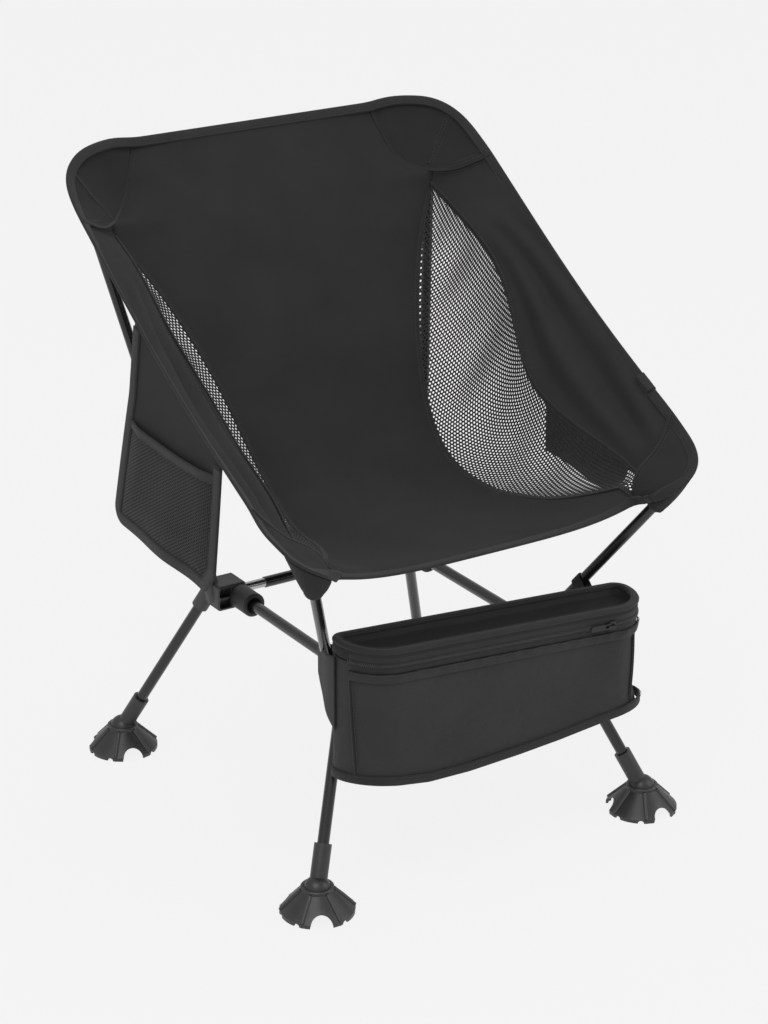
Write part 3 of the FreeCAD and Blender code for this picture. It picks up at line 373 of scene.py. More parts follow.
FRONT_CORNER = [(248, -176, 424), (248, -201, 409), (244, -220, 400), (239, -231, 392), (232, -238, 386),
                (221, -243, 379), (207, -243, 371), (194, -236, 362), (184, -222, 354), (178, -212, 351)]
FRONT_SEAM = [(246, -176, 424), (216, -190, 393), (186, -197, 371), (179, -206, 352)]


# Mesh helpers

def make(name, verts, faces, material, uv=None, body="frame"):
    """A new piece from points in millimetres, with its map in metres."""
    mesh = bpy.data.meshes.new(name)
    mesh.from_pydata((np.asarray(verts, float) * MM).tolist(), [], [tuple(int(i) for i in f) for f in faces])
    mesh.materials.append(MATERIALS[material])
    layer = mesh.uv_layers.new(name="map")
    flat = np.asarray(uv if uv is not None else np.asarray(verts)[:, :2], float) * MM
    index = np.zeros(len(mesh.loops), int)
    mesh.loops.foreach_get("vertex_index", index)
    layer.data.foreach_set("uv", flat[index].ravel())
    mesh.polygons.foreach_set("use_smooth", [True] * len(mesh.polygons))
    mesh.update()
    obj = bpy.data.objects.new(name, mesh)
    bpy.context.scene.collection.objects.link(obj)
    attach(obj, body)
    return obj


def grid_faces(rows, columns, closed=False, offset=0):
    faces = []
    for i in range(rows - 1):
        for j in range(columns if closed else columns - 1):
            k = (j + 1) % columns
            faces.append((offset + i * columns + j, offset + i * columns + k,
                          offset + (i + 1) * columns + k, offset + (i + 1) * columns + j))
    return faces


def grid_uv(points):
    """Distances along the rows and columns of a grid of points."""
    rows = np.linalg.norm(np.diff(points, axis=0), axis=2).mean(axis=1)
    columns = np.linalg.norm(np.diff(points, axis=1), axis=2)
    u = np.concatenate([[0], np.cumsum(rows)])
    v = np.concatenate([np.zeros((len(points), 1)), np.cumsum(columns, axis=1)], axis=1)
    return np.stack([np.repeat(u[:, None], points.shape[1], axis=1), v], axis=2)


def grid_normals(points):
    du = np.gradient(points, axis=0)
    dv = np.gradient(points, axis=1)
    return unit(np.cross(dv, du))


def thicken(obj, thickness):
    solidify = obj.modifiers.new("thickness", "SOLIDIFY")
    solidify.thickness = thickness * MM
    solidify.offset = 0.0
    solidify.use_rim = True
    return obj


def grid_piece(name, points, material, thickness):
    rows, columns = points.shape[:2]
    obj = make(name, points.reshape(-1, 3), grid_faces(rows, columns), material,
               uv=grid_uv(points).reshape(-1, 2))
    return thicken(obj, thickness)


def ruled(line_a, line_b, rows, columns):
    """Grid of points between two lines."""
    a = evened(line_a, rows)
    b = evened(line_b, rows)
    w = np.linspace(0, 1, columns)[None, :, None]
    return a[:, None, :] * (1 - w) + b[:, None, :] * w


def sweep(name, line, across, lift, section, material, body="frame", closed=False):
    """A band: a section of (across, lift) points in millimetres, carried along a line."""
    line = np.asarray(line, float)
    across = np.broadcast_to(unit(across), line.shape)
    lift = np.broadcast_to(unit(lift), line.shape)
    section = np.asarray(section, float)
    verts = (line[:, None, :] + across[:, None, :] * section[None, :, 0, None]
             + lift[:, None, :] * section[None, :, 1, None])
    n, k = verts.shape[:2]
    round_it = run_along(closed_up(section))[:-1]
    uv = np.stack(np.broadcast_arrays(run_along(line)[:, None], round_it[None, :]), axis=2)
    faces = grid_faces(n, k, closed=True)
    if closed:
        faces += [((n - 1) * k + j, (n - 1) * k + (j + 1) % k, (j + 1) % k, j) for j in range(k)]
    else:
        faces += [tuple(range(k - 1, -1, -1)), tuple((n - 1) * k + j for j in range(k))]
    return make(name, verts.reshape(-1, 3), faces, material, uv=uv.reshape(-1, 2), body=body)


def rounded_section(low, high, thickness, lift=0.0, steps=5):
    """Flat band section from low to high across, rounded at its two edges."""
    r = thickness / 2
    points = []
    for centre, start in ((high - r, -math.pi / 2), (low + r, math.pi / 2)):
        for i in range(steps + 1):
            a = start + math.pi * i / steps
            points.append((centre + math.cos(a) * r, lift + math.sin(a) * r))
    return points


def stitches(name, line, normal, body="frame", step=3.4, dash=2.5, radius=0.32):
    """A row of thread stitches that stand a little out of the cloth."""
    s = run_along(line)
    count = max(2, int(s[-1] / step))
    places = evened(line, count * 4 + 1)
    where = np.linspace(0, s[-1], count * 4 + 1)
    normal = np.broadcast_to(normal, line.shape)
    normals = unit(np.stack([np.interp(where, s, normal[:, i]) for i in range(3)], axis=1))
    verts, faces, uv = [], [], []
    half = dash / 2
    for k in range(count):
        centre = places[k * 4 + 2]
        along = unit(places[k * 4 + 3] - places[k * 4 + 1])
        up = normals[k * 4 + 2]
        side = unit(np.cross(along, up))
        base = len(verts)
        for a, grow in ((-half, 0.35), (-half * 0.55, 1.0), (half * 0.55, 1.0), (half, 0.35)):
            lift = radius * 0.9 if grow > 0.5 else 0.0
            for angle in (0, 60, 120, 180, 240, 300):
                c, d = math.cos(math.radians(angle)), math.sin(math.radians(angle))
                verts.append(centre + along * a + side * c * radius * grow + up * (lift + d * radius * grow))
                uv.append((a, angle / 100))
        faces += grid_faces(4, 6, closed=True, offset=base)
        faces += [tuple(base + i for i in range(5, -1, -1)), tuple(base + 18 + i for i in range(6))]
    return make(name, verts, faces, "thread", uv=uv, body=body)


def net(name, place, inside, along, across, pitch, strand, material, thickness):
    """Knitted net: a hexagon lattice with real openings. place maps (along, across) in millimetres to points,
    and inside tells which of them belong to the cloth."""
    radius = pitch / math.sqrt(3)
    verts, faces, index = [], [], {}
    shrink = 1 - strand / pitch * 1.15
    turns = [(math.cos(math.radians(60 * i)), math.sin(math.radians(60 * i))) for i in range(6)]

    def corner(a, b):
        key = (int(math.floor(a * 9 + 0.317)), int(math.floor(b * 9 + 0.317)))
        if key not in index:
            index[key] = len(verts)
            verts.append((a, b))
        return index[key]

    for row in range(int((along[1] - along[0]) / (radius * 1.5)) + 2):
        a0 = along[0] + row * radius * 1.5
        for column in range(int((across[1] - across[0]) / pitch) + 2):
            b0 = across[0] + column * pitch + (row % 2) * pitch / 2
            outer = [(a0 + radius * c, b0 + radius * d) for c, d in turns]
            if not all(inside(a, b) for a, b in outer):
                continue
            ring = [corner(a, b) for a, b in outer]
            inner = []
            for a, b in outer:
                inner.append(len(verts))
                verts.append((a0 + (a - a0) * shrink, b0 + (b - b0) * shrink))
            for i in range(6):
                j = (i + 1) % 6
                faces.append((ring[i], ring[j], inner[j], inner[i]))
    flat = np.array(verts)
    obj = make(name, place(flat), faces, material, uv=flat)
    return thicken(obj, thickness)


# Sling: the centre panel, its wings, mesh windows and corner patches

TOP_LENGTH = length_of(PROFILE)
EDGE_LINE = np.concatenate([[(192.0, 260.0)], curve(WINDOW_EDGE, 400), [(177.0, -230.0)]])


def half_width(y):
    return np.interp(-np.asarray(y, float), -EDGE_LINE[:, 1], EDGE_LINE[:, 0])


def panel_edge(y, z):
    """Right edge of the panel beside each point of its middle: on the corner seam above the mesh window."""
    seam = np.concatenate([curve(BACK_SEAM, 80), on_panel([(192, 188)])])
    beside = np.concatenate([np.linspace(238, 196, 80), [188]])
    edge = np.column_stack([half_width(y), y, z + edge_rise(y)])
    above = y > 188
    for i in range(3):
        edge[above, i] = np.interp(-y[above], -beside, seam[:, i])
    return edge


def creases(a, b):
    """Slight pull of the stretched cloth, in millimetres."""
    return (0.55 * np.sin(a / 61 + 1.3) * np.sin(b / 83 + 0.4) + 0.3 * np.sin(a / 29 + b / 47)
            + 0.16 * np.sin(a / 13 - b / 37 + 2.1))


PANEL_GRID = (150, 71)
SEAM_ALLOWANCE = 1.8


def centre_panel():
    rows, columns = PANEL_GRID
    line = evened(PROFILE, rows)
    edge = panel_edge(line[:, 1], line[:, 2])
    half = edge[:, 0] + SEAM_ALLOWANCE
    tau = np.linspace(-1, 1, columns)
    x = half[:, None] * tau[None, :]
    aside = np.abs(tau[None, :]) ** 5
    y = line[:, 1:2] + (edge - line)[:, 1:2] * aside
    z = line[:, 2:3] + (edge - line)[:, 2:3] * aside
    points = np.stack([x, y, z - sag_at(x, y)], axis=2)
    normals = grid_normals(points)
    s = np.linspace(0, TOP_LENGTH, rows)[:, None]
    rim = np.clip((1 - np.abs(tau[None, :])) * 6, 0, 1) * np.clip(np.minimum(s, TOP_LENGTH - s) / 40, 0, 1)
    points = points + normals * (creases(x, s) * rim)[:, :, None]
    obj = make("sling_panel", points.reshape(-1, 3), grid_faces(rows, columns), "fabric",
               uv=np.stack(np.broadcast_arrays(x, s), axis=2).reshape(-1, 2))
    thicken(obj, 1.0)
    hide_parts("seat_panel")


def bulged(points, amount):
    """Pushes the middle of a strip out along its normal, with a few creases along it."""
    rows, columns = points.shape[:2]
    across = np.sin(np.linspace(0, math.pi, columns))[None, :]
    along = np.clip(np.sin(np.linspace(0, math.pi, rows)) * 3, 0, 1)[:, None]
    s = np.linspace(0, 400, rows)[:, None]
    ripple = 0.5 * np.sin(s / 23) * np.sin(np.linspace(0, 9, columns))[None, :]
    return points + grid_normals(points) * ((amount * across + ripple * across) * along)[:, :, None]


def strip_sheet(name, points, material, thickness, node):
    """A strip of stretched cloth that stands for a CAD node."""
    obj = grid_piece(name, points, material, thickness)
    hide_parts(node)


def wing_creases(rows, columns):
    """Pull lines that fan from high on the window's edge to the front corner, in millimetres."""
    along = np.linspace(0, 1, rows)[:, None]
    across = np.linspace(0, 1, columns)[None, :]
    grow = np.clip((along - 0.18) / 0.3, 0, 1) * np.clip((1 - along) / 0.12, 0, 1)
    centre = 0.1 + 0.3 * np.sin(math.pi * np.clip((along - 0.18) / 0.82, 0, 1))
    spread = 0.34 + 0.22 * np.clip(along, 0, 0.7)
    wave = np.cos(2 * math.pi * (across - centre) / spread)
    return 4.4 * grow * wave * np.sin(math.pi * across) ** 0.6


def wing(name, side, outer):
    """Cloth between the mesh window and the chair's side edge."""
    rows, columns = 110, 41
    edge = sided(extended(curve(SIDE_EDGE, 120), 5, 8), side)
    top = sided([BACK_SEAM[-1]], side) + unit(outer[0] - outer[10]) * 4
    cloth = ruled(np.concatenate([top, outer]), edge, rows, columns)
    cloth = cloth + grid_normals(cloth) * (wing_creases(rows, columns) * -side)[:, :, None]
    if side > 0:
        cloth = cloth[:, ::-1]
    strip_sheet(f"sling_wing_{name}", bulged(cloth, 1.2), "fabric", 1.0, f"wing_{name}")


NET_PITCH = 4.2
NET_STRAND = 1.55


def mesh_window(name, side, a, b, pull):
    """Net from the panel's edge (a) to the wing's (b). It leaves the panel level, hangs, and climbs."""
    rows, columns = len(a), 33
    total = length_of(a)
    t = np.linspace(0, 1, columns)[None, :, None]
    sheet = a[:, None] * (1 - t) ** 2 + pull[:, None] * (2 * t * (1 - t)) + b[:, None] * t ** 2
    below = unit(sided([(0.69, 0.36, -0.60)], side))
    ripple = np.linspace(0, 34, rows)[:, None] + np.linspace(0, 1.6, columns)[None, :]
    folds = np.sin(ripple) + 0.6 * np.sin(ripple * 1.7 + 1)
    folds = folds * np.sin(np.linspace(0, math.pi, columns))[None, :] ** 1.5
    width = np.linalg.norm(np.diff(sheet, axis=1), axis=2).sum(axis=1)
    sheet = sheet + below * (folds * 1.9 * np.clip(width / 90, 0, 1)[:, None])[:, :, None]

    def width_at(s):
        return np.interp(s, np.linspace(0, total, rows), width)

    def place(flat):
        s = np.clip(flat[:, 0] / total, 0, 1) * (rows - 1)
        w = np.clip(flat[:, 1] / np.maximum(width_at(flat[:, 0]), 1), -0.1, 1.1) * (columns - 1)
        i = np.clip(s.astype(int), 0, rows - 2)
        j = np.clip(np.floor(w).astype(int), 0, columns - 2)
        u, v = (s - i)[:, None], (w - j)[:, None]
        return ((sheet[i, j] * (1 - v) + sheet[i, j + 1] * v) * (1 - u)
                + (sheet[i + 1, j] * (1 - v) + sheet[i + 1, j + 1] * v) * u)

    obj = net(f"mesh_net_{name}", place, lambda s, w: 0 <= s <= total and -2 <= w <= width_at(s) + 2,
              (0, total), (-2, width.max() + 4), NET_PITCH, NET_STRAND, "mesh", 0.7)
    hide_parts(f"mesh_window_{name}")


def window_seams(name, side, a, b, pull):
    """Flat-felled seams on both edges of the mesh window, with their stitching."""
    for tag, line, away in (("inner", a, pull), ("outer", b, pull)):
        toward = unit(away - line)
        for _ in range(8):
            toward[1:-1] = unit(toward[:-2] + toward[1:-1] * 2 + toward[2:])
        toward[:6] = toward[6]
        line, toward = line[::2], toward[::2]
        lift = unit(np.cross(np.gradient(line, axis=0), toward))
        if lift[50] @ np.array([-0.6 * side, -0.4, 0.7]) < 0:
            lift = -lift
        sweep(f"window_seam_{tag}_{name}", line, toward, lift, rounded_section(-3.4, 3.4, 1.9), "binding")
        for k, shift in enumerate((-2.2, 2.3)):
            stitches(f"window_stitch_{tag}_{k}_{name}", line + toward * shift + lift * 0.95, lift)


def sling_side(name, side):
    outer = sided(extended(curve(WINDOW_OUTER, 120), 5, 9), side)
    inner = sided(extended(on_panel(curve(WINDOW_EDGE, 160)), 0.5, 6), side)
    wing(name, side, outer)
    a, b = evened(inner, 200), evened(outer, 200)
    pull = (a + b) / 2 * 0.35 + np.column_stack([b[:, 0], a[:, 1], a[:, 2]]) * 0.65
    mesh_window(name, side, a, b, pull)
    window_seams(name, side, a, b, pull)


def welted(name, line, up, raised, section):
    """A welt that covers a seam, and the way across it."""
    across = unit(np.cross(unit(np.gradient(line, axis=0)), up))
    sweep(name, line + up * raised, across, up, section, "welt")
    return across


def corner_patch(name, node, outer, seam, size, side, bulge, raised):
    """Doubled cloth that holds a pole tip, between the sling's corner and a seam."""
    points = ruled(outer, seam, *size)
    points = bulged(points[:, ::-1] if side > 0 else points, bulge) + raised
    strip_sheet(name, points, "back_patch", 1.3, node)
    return points


def corner_patches(name, side):
    seam = sided(curve(BACK_SEAM + BACK_SEAM_END, 90), side)
    up = np.array([0, -0.83, 0.56])
    outer = sided(curve(BACK_CORNER, 90), side)
    points = corner_patch(f"back_patch_{name}", f"back_corner_pocket_{name}", outer, seam, (80, 26), side,
                          1.2, up * 0.8)
    line = evened(seam, 90)
    across = welted(f"back_patch_welt_{name}", line, up, 1.0, rounded_section(-1.9, 1.9, 1.6, 0.5))
    for k, shift in enumerate((3.2, -3.2)):
        stitches(f"back_patch_stitch_{k}_{name}", line + across * shift + up * 1.3, up)
    corner = int(round(0.58 * 79))
    diagonal = evened(points[corner][2:-1], 40)
    lift = unit(grid_normals(points)[corner].mean(axis=0))
    lift = lift if lift @ up > 0 else -lift
    diagonal = diagonal + lift * 0.7
    across = unit(np.cross(diagonal[-1] - diagonal[0], lift))
    sweep(f"back_patch_diagonal_{name}", diagonal, across, lift, rounded_section(-1.8, 1.8, 1.4), "welt")
    for k, shift in enumerate((2.9, -2.9)):
        stitches(f"back_patch_diagonal_stitch_{k}_{name}", diagonal + across * shift, lift)

    seam = sided(curve(FRONT_SEAM, 80), side)
    up = unit(np.array([-0.3 * side, -0.35, 0.89]))
    corner_patch(f"front_patch_{name}", f"front_corner_pocket_{name}", sided(curve(FRONT_CORNER, 80), side),
                 seam, (70, 18), side, 1.0, up * 0.5)
    line = evened(seam, 60)[1:-4]
    across = welted(f"front_patch_welt_{name}", line, up, 0.9, rounded_section(-1.7, 1.7, 1.5, 0.4))
    stitches(f"front_patch_stitch_{name}", line - across * 3.0 * side + up * 1.2, up)


def perimeter():
    """Closed outer edge of the sling, from the middle of its top."""
    right = [np.column_stack([np.linspace(0, 143, 40), np.full(40, 238.0), np.full(40, 674.0)])]
    right.append(curve(BACK_CORNER, 50)[1:])
    right.append(curve(SIDE_EDGE, 90)[1:])
    right.append(curve(FRONT_CORNER, 50)[1:])
    x = np.linspace(177, 0, 40)
    right.append(np.column_stack([x, np.full(40, -212.0), 352.0 - sag_at(x, -212.0)])[1:])
    right = np.concatenate(right)
    left = right[1:-1][::-1] * np.array([-1, 1, 1])
    loop = np.concatenate([right, left])
    closed = evened(closed_up(loop), 561)[:-1]
    for _ in range(6):
        closed = (closed + (np.roll(closed, 1, axis=0) + np.roll(closed, -1, axis=0)) / 2) / 2
    return closed


def binding():
    line = perimeter()
    along = unit(np.roll(line, -1, axis=0) - np.roll(line, 1, axis=0))
    y = np.clip(line[:, 1], -150, 190)
    middle = np.column_stack([line[:, 0] * 0.55, y, panel_height(y)])
    inward = unit(middle - line)
    inward = unit(inward - along * (inward * along).sum(axis=1, keepdims=True))
    for _ in range(10):
        inward = unit(inward + np.roll(inward, 1, axis=0) + np.roll(inward, -1, axis=0))
    lift = unit(np.cross(inward, along))
    flip = np.sign((lift * np.array([0, -0.6, 0.8])).sum(axis=1))
    lift = lift * np.where(flip == 0, 1, flip)[:, None]
    obj = sweep("sling_binding", line, inward, lift, rounded_section(-0.8, 10.2, 3.2, 0.2), "binding",
                closed=True)
    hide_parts("top_binding", "front_binding", "side_binding_left", "side_binding_right")
    line, inward, lift = closed_up(line), closed_up(inward), closed_up(lift)
    stitches("sling_binding_stitch", line + inward * 8.6 + lift * 1.75, lift, step=3.6, dash=2.6)


centre_panel()
for side_name, side_sign in (("left", -1), ("right", 1)):
    sling_side(side_name, side_sign)
    corner_patches(side_name, side_sign)
binding()


# Fabric cones that the front pole tips push into, and sleeves for the back pole tips

def pole(row, side):
    """Root and way of a seat or back pole's middle line."""
    root, way = {"front": ((132, -126, 205), (0.389, -0.483, 0.785)),
                 "rear": ((130.4, 112.5, 204), (0.184, 0.245, 0.952))}[row]
    return sided(root, side), unit(sided(way, side))


def frame_round(way):
    """Two ways square to a pole and to each other."""
    first = unit(np.cross(way, [0, 0, 1]))
    return first, unit(np.cross(way, first))


def cone(name, row, side, start, radius, rim):
    """Sewn cloth cone: a ring round the pole, opening out to a rim on the underside of the corner patch."""
    root, way = pole(row, side)
    first, second = frame_round(way)
    columns = 48
    rows = 22
    angles = np.linspace(0, 2 * math.pi, columns, endpoint=False)
    mouth = root + way * start
    away = rim - mouth
    turn = np.arctan2(away @ second, away @ first) % (2 * math.pi)
    order = np.argsort(turn)
    turn, rim = turn[order], rim[order]
    turn = np.concatenate([turn - 2 * math.pi, turn, turn + 2 * math.pi])
    rim = np.concatenate([rim, rim, rim])
    verts = []
    for i in range(rows):
        t = i / (rows - 1)
        for angle in angles:
            spoke = first * math.cos(angle) + second * math.sin(angle)
            high = np.array([np.interp(angle, turn, rim[:, k]) for k in range(3)])
            low = mouth + spoke * radius
            pucker = 0.3 * math.sin(7 * angle + 3 * t) * (1 - t)
            verts.append(low + (high - low) * t + spoke * (pucker + 2.4 * math.sin(math.pi * t ** 0.8)))
    obj = make(name, verts, grid_faces(rows, columns, closed=True), "back_patch",
               uv=[(i // columns * 2.0, i % columns * 1.6) for i in range(rows * columns)])
    thicken(obj, 1.1)
    hem = np.array([mouth + (first * math.cos(a) + second * math.sin(a)) * (radius + 0.2) for a in angles])
    outwards = unit(hem - mouth)
    sweep(f"{name}_hem", hem, way, outwards, rounded_section(-0.4, 4.0, 1.8, 0.2), "binding", closed=True)
    hem, outwards = closed_up(hem), closed_up(outwards)
    stitches(f"{name}_hem_stitch", hem + way * 2.8 + outwards * 1.2, outwards, step=3.0, dash=2.0)


def rounded_square_turn(turn):
    """Coordinate of a point on a unit square with well rounded corners, from its cosine or sine."""
    return math.copysign(abs(turn) ** 0.6, turn)


RIM_POINTS = 60


def front_cone(name, side):
    """Cone whose rim is a rounded square on the underside of the front corner patch."""
    outer = evened(sided(curve(FRONT_CORNER, 90), side), 81)
    seam = evened(sided(curve(FRONT_SEAM, 90), side), 81)
    rim = []
    for k in range(RIM_POINTS):
        angle = 2 * math.pi * k / RIM_POINTS
        u = 0.60 + 0.23 * rounded_square_turn(math.cos(angle))
        v = 0.37 - 0.35 * rounded_square_turn(math.sin(angle))
        i = int(round(u * 80))
        rim.append(outer[i] * (1 - v) + seam[i] * v)
    below = unit(np.array([0.3 * side, 0.35, -0.89]))
    cone(f"front_cone_{name}", "front", side, 177, 8.6, np.array(rim) + below * 2.4)


def back_sleeve(name, side):
    """Narrow sleeve up to the plane of the back corner patch."""
    root, way = pole("rear", side)
    first, second = frame_round(way)
    normal = unit(np.array([0, 0.83, -0.56]))
    plane = np.array([side * 215.0, 211, 640])
    start, end, radius = 422, 466, 8.0
    rim = []
    for k in range(RIM_POINTS):
        angle = 2 * math.pi * k / RIM_POINTS
        spoke = first * math.cos(angle) + second * math.sin(angle)
        low = root + way * start + spoke * radius
        high = root + way * end + spoke * (radius + 0.5)
        reach = ((plane - low) @ normal) / ((high - low) @ normal)
        rim.append(low + (high - low) * min(max(reach, 0.05), 1.0))
    cone(f"back_sleeve_{name}", "rear", side, start, radius, np.array(rim))


# Side pockets

POCKET_X = 247.0
POUCH = [(64, 438), (103, 322), (-79, 308), (-100, 332), (-115, 431)]


def rounded_polygon(points, radii, steps=8):
    """Closed outline with rounded corners in a plane."""
    p = np.array(points, float)
    out = []
    for i in range(len(p)):
        here, before, after = p[i], p[i - 1], p[(i + 1) % len(p)]
        if radii[i] <= 0:
            out.append(here)
            continue
        a, b = unit(before - here), unit(after - here)
        half = math.acos(np.clip(a @ b, -1, 1)) / 2
        reach = radii[i] / math.tan(half)
        centre = here + unit(a + b) * radii[i] / math.sin(half)
        start, end = here + a * reach - centre, here + b * reach - centre
        for k in range(steps + 1):
            t = k / steps
            v = unit(start * (1 - t) + end * t) * radii[i]
            out.append(centre + v)
    return np.array(out)


def within(polygon):
    """Test for points inside an outline."""
    x, y = polygon[:, 0], polygon[:, 1]
    x2, y2 = np.roll(x, -1), np.roll(y, -1)

    def test(a, b):
        crossing = ((y > b) != (y2 > b)) & (a < (x2 - x) * (b - y) / np.where(y2 == y, 1e-9, y2 - y) + x)
        return bool(crossing.sum() % 2)

    return test


def hanging(flat, side, out=0.0):
    """Point of a pocket from its place in side view: the cloth hangs with a slight wave."""
    y, z = flat[:, 0], flat[:, 1]
    low = np.clip((500 - z) / 180, 0, 1)
    wave = low * (1.6 * np.sin(y / 31 + 0.6) + 1.1 * np.sin(y / 17 + z / 40))
    if side > 0:
        curl = np.clip(y - 40, 0, None) * np.clip((525 - z) / 60, 0, 1)
        y = y - curl * 0.93
        wave = wave + curl * 0.27
    return np.column_stack([side * (POCKET_X + out + wave - low * 1.0), y, z])


def edge_distance(flat):
    """Distance of points from the pouch's sewn edges: its rear, its bottom and its front."""
    nearest = np.full(len(flat), np.inf)
    for a, b in zip(np.array(POUCH[:-1], float), np.array(POUCH[1:], float)):
        way = b - a
        t = np.clip(((flat - a) @ way) / (way @ way), 0, 1)
        nearest = np.minimum(nearest, np.linalg.norm(flat - a - t[:, None] * way, axis=1))
    return nearest


def pouch_place(flat, side):
    """Point of the pouch, which stands off the panel away from its sewn edges."""
    spread = np.clip((edge_distance(flat) - 9) / 28, 0, 1)
    return hanging(flat, side, 0.5 + 4.6 * spread * (2 - spread))


def pocket_edges():
    """The pocket's rear and front edges in side view, from the sling's side edge down to the same point."""
    edge = curve(SIDE_EDGE, 200)
    top_y = np.linspace(45, -122, 60)
    top_z = np.interp(-top_y, -edge[:, 1], edge[:, 2]) - 1.0
    rear = rounded_polygon([(45, top_z[0]), (60, 470), (108, 320), (14, 312.5)], [0, 60, 16, 0])
    front = rounded_polygon([(-122, top_z[-1]), (-103, 330), (-80, 305), (14, 312.5)], [0, 9.6, 9.6, 0])
    return evened(rear, 70), evened(front, 70), top_z


def pocket_panel(name, side):
    rear, front, top_z = pocket_edges()
    t = np.linspace(0, 1, 60)[None, :, None]
    flat = rear[:, None, :] * (1 - t) + front[:, None, :] * t
    drop = np.clip(1 - np.linspace(0, 1, 70) * 4, 0, 1)[:, None]
    straight = top_z[0] + (top_z[-1] - top_z[0]) * np.linspace(0, 1, 60)
    flat[:, :, 1] += drop * (top_z - straight)[None, :]
    points = hanging(flat.reshape(-1, 2), side)
    obj = make(f"pocket_panel_{name}", points, grid_faces(70, 60), "pocket", uv=flat.reshape(-1, 2))
    thicken(obj, 0.9)
    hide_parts(f"side_pocket_{name}")


def pouch_net(name, side):
    test = within(rounded_polygon(POUCH, [0, 16, 9.6, 9.6, 0]))
    obj = net(f"pouch_net_{name}", lambda flat: pouch_place(flat, side), test, (-122, 112), (300, 452),
              3.6, 1.7, "pouch_mesh", 0.6)
    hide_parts(f"pocket_mesh_{name}")


def pocket_binding(name, side):
    rear, front, _ = pocket_edges()
    line = evened(np.concatenate([rear, front[::-1][1:]]), 200)[2:-2]
    rim = hanging(line, side, 0.9)
    middle = np.array([[5.0, 410.0]])
    tangent = unit(np.gradient(line, axis=0))
    inward = unit(middle - line)
    inward = unit(inward - tangent * (inward * tangent).sum(axis=1, keepdims=True))
    inward = np.column_stack([np.zeros(len(line)), inward])
    lift = np.array([side, 0, 0.0])
    sweep(f"pocket_binding_{name}", rim, inward, lift, rounded_section(-0.8, 13.2, 3.0), "binding")
    stitches(f"pocket_binding_stitch_{name}", rim + inward * 11.4 + lift * 1.6, lift)


def pouch_hem(name, side):
    mouth = evened(np.array([(62.0, 437.6), (-113.0, 431.0)]), 80)
    sagged = mouth - np.column_stack([np.zeros(80), 3.0 * np.sin(np.linspace(0, math.pi, 80))])
    hem = pouch_place(sagged, side) + np.array([side * 0.5, 0, 0])
    down, lift = np.array([0, 0, -1.0]), np.array([side, 0, 0.0])
    sweep(f"pouch_hem_{name}", hem, down, lift, rounded_section(-5.2, 5.2, 2.2), "binding")
    for k, shift in enumerate((-3.8, 3.8)):
        stitches(f"pouch_hem_stitch_{k}_{name}", hem + down * shift + lift * 1.2, lift)


# Storage bag, drawn about the middle of its rear wall's top

BAG_TILT = math.radians(4.2)
BAG_ORIGIN = np.array([8, -179, 250.0])
BAG_AXES = np.array([[math.cos(BAG_TILT), 0, -math.sin(BAG_TILT)], [0, 1, 0],
                     [math.sin(BAG_TILT), 0, math.cos(BAG_TILT)]])
BAG_HALF = 176.0
BAG_DEPTH = 62.0
BAG_HEIGHT = 121.0
BASE_FLARE = 5.5


def bag_point(local):
    return BAG_ORIGIN + np.asarray(local, float) @ BAG_AXES


def body_point(plan, z):
    """Point of the upright body, whose heights are measured from the bag's origin."""
    return BAG_ORIGIN + with_z(np.asarray(plan, float), z)


def body_top(x):
    return -np.asarray(x, float) * math.tan(BAG_TILT)


def base_drop(plan):
    """How far the base's edge stands off its level where the cloth is pulled, in millimetres."""
    x = np.asarray(plan)[:, 0]
    pulled = np.interp(x, [-176, -144, -98, -50, 10, 59, 109, 140, 176], [8, 4, -3.5, -5, -3, 0, 4.5, 7, 9])
    return pulled * np.clip(-np.asarray(plan)[:, 1] / BAG_DEPTH, 0.1, 1)


def bag_way(local):
    return np.asarray(local, float) @ BAG_AXES


def bag_outline(grow, count):
    """Plan of the bag, from the middle of its rear edge round by its right end, evenly spaced."""
    half, front = BAG_HALF + grow, -BAG_DEPTH - grow
    rear_radius, front_radius = 14.0 + grow, 46.0 + grow
    corners = rounded_polygon([(half, grow), (half, front), (-half, front), (-half, grow)],
                              [rear_radius, front_radius, front_radius, rear_radius], 16)
    loop = np.concatenate([[(0, grow)], corners, [(0, grow)]])
    return evened(loop, count + 1)[:-1]


def outline_ways(plan):
    along = unit(np.roll(plan, -1, axis=0) - np.roll(plan, 1, axis=0))
    return np.column_stack([along[:, 1], -along[:, 0]]) * -1


def with_z(plan, z):
    return np.column_stack([plan, np.broadcast_to(z, len(plan))])


def with_flat(ways):
    """Ways in the plan as ways in space."""
    return with_z(ways, 0.0)


def bag_folds(s, z):
    """How far the bag's cloth stands out of its plan, in millimetres."""
    return (0.7 * np.sin(s / 19 + z / 31) * np.sin(z / 27 + 0.7) + 0.5 * np.sin(s / 43 - z / 19 + 1.1)
            + 0.3 * np.sin(s / 9.5 + z / 12) * np.sin(s / 57))


def end_share(plan):
    """One at the front of the bag's right end, fading to nothing along the front and at the rear."""
    p = np.asarray(plan, float)
    return np.clip((p[:, 0] - 128) / 44, 0, 1) ** 1.5 * np.clip(-p[:, 1] / 22, 0, 1)


def base_edge(grow, count):
    """Plan of the base's flared edge, and the ways out from it."""
    plan = bag_outline(grow, count)
    out2 = outline_ways(plan)
    return plan + out2 * (end_share(plan) * BASE_FLARE)[:, None], with_flat(out2)


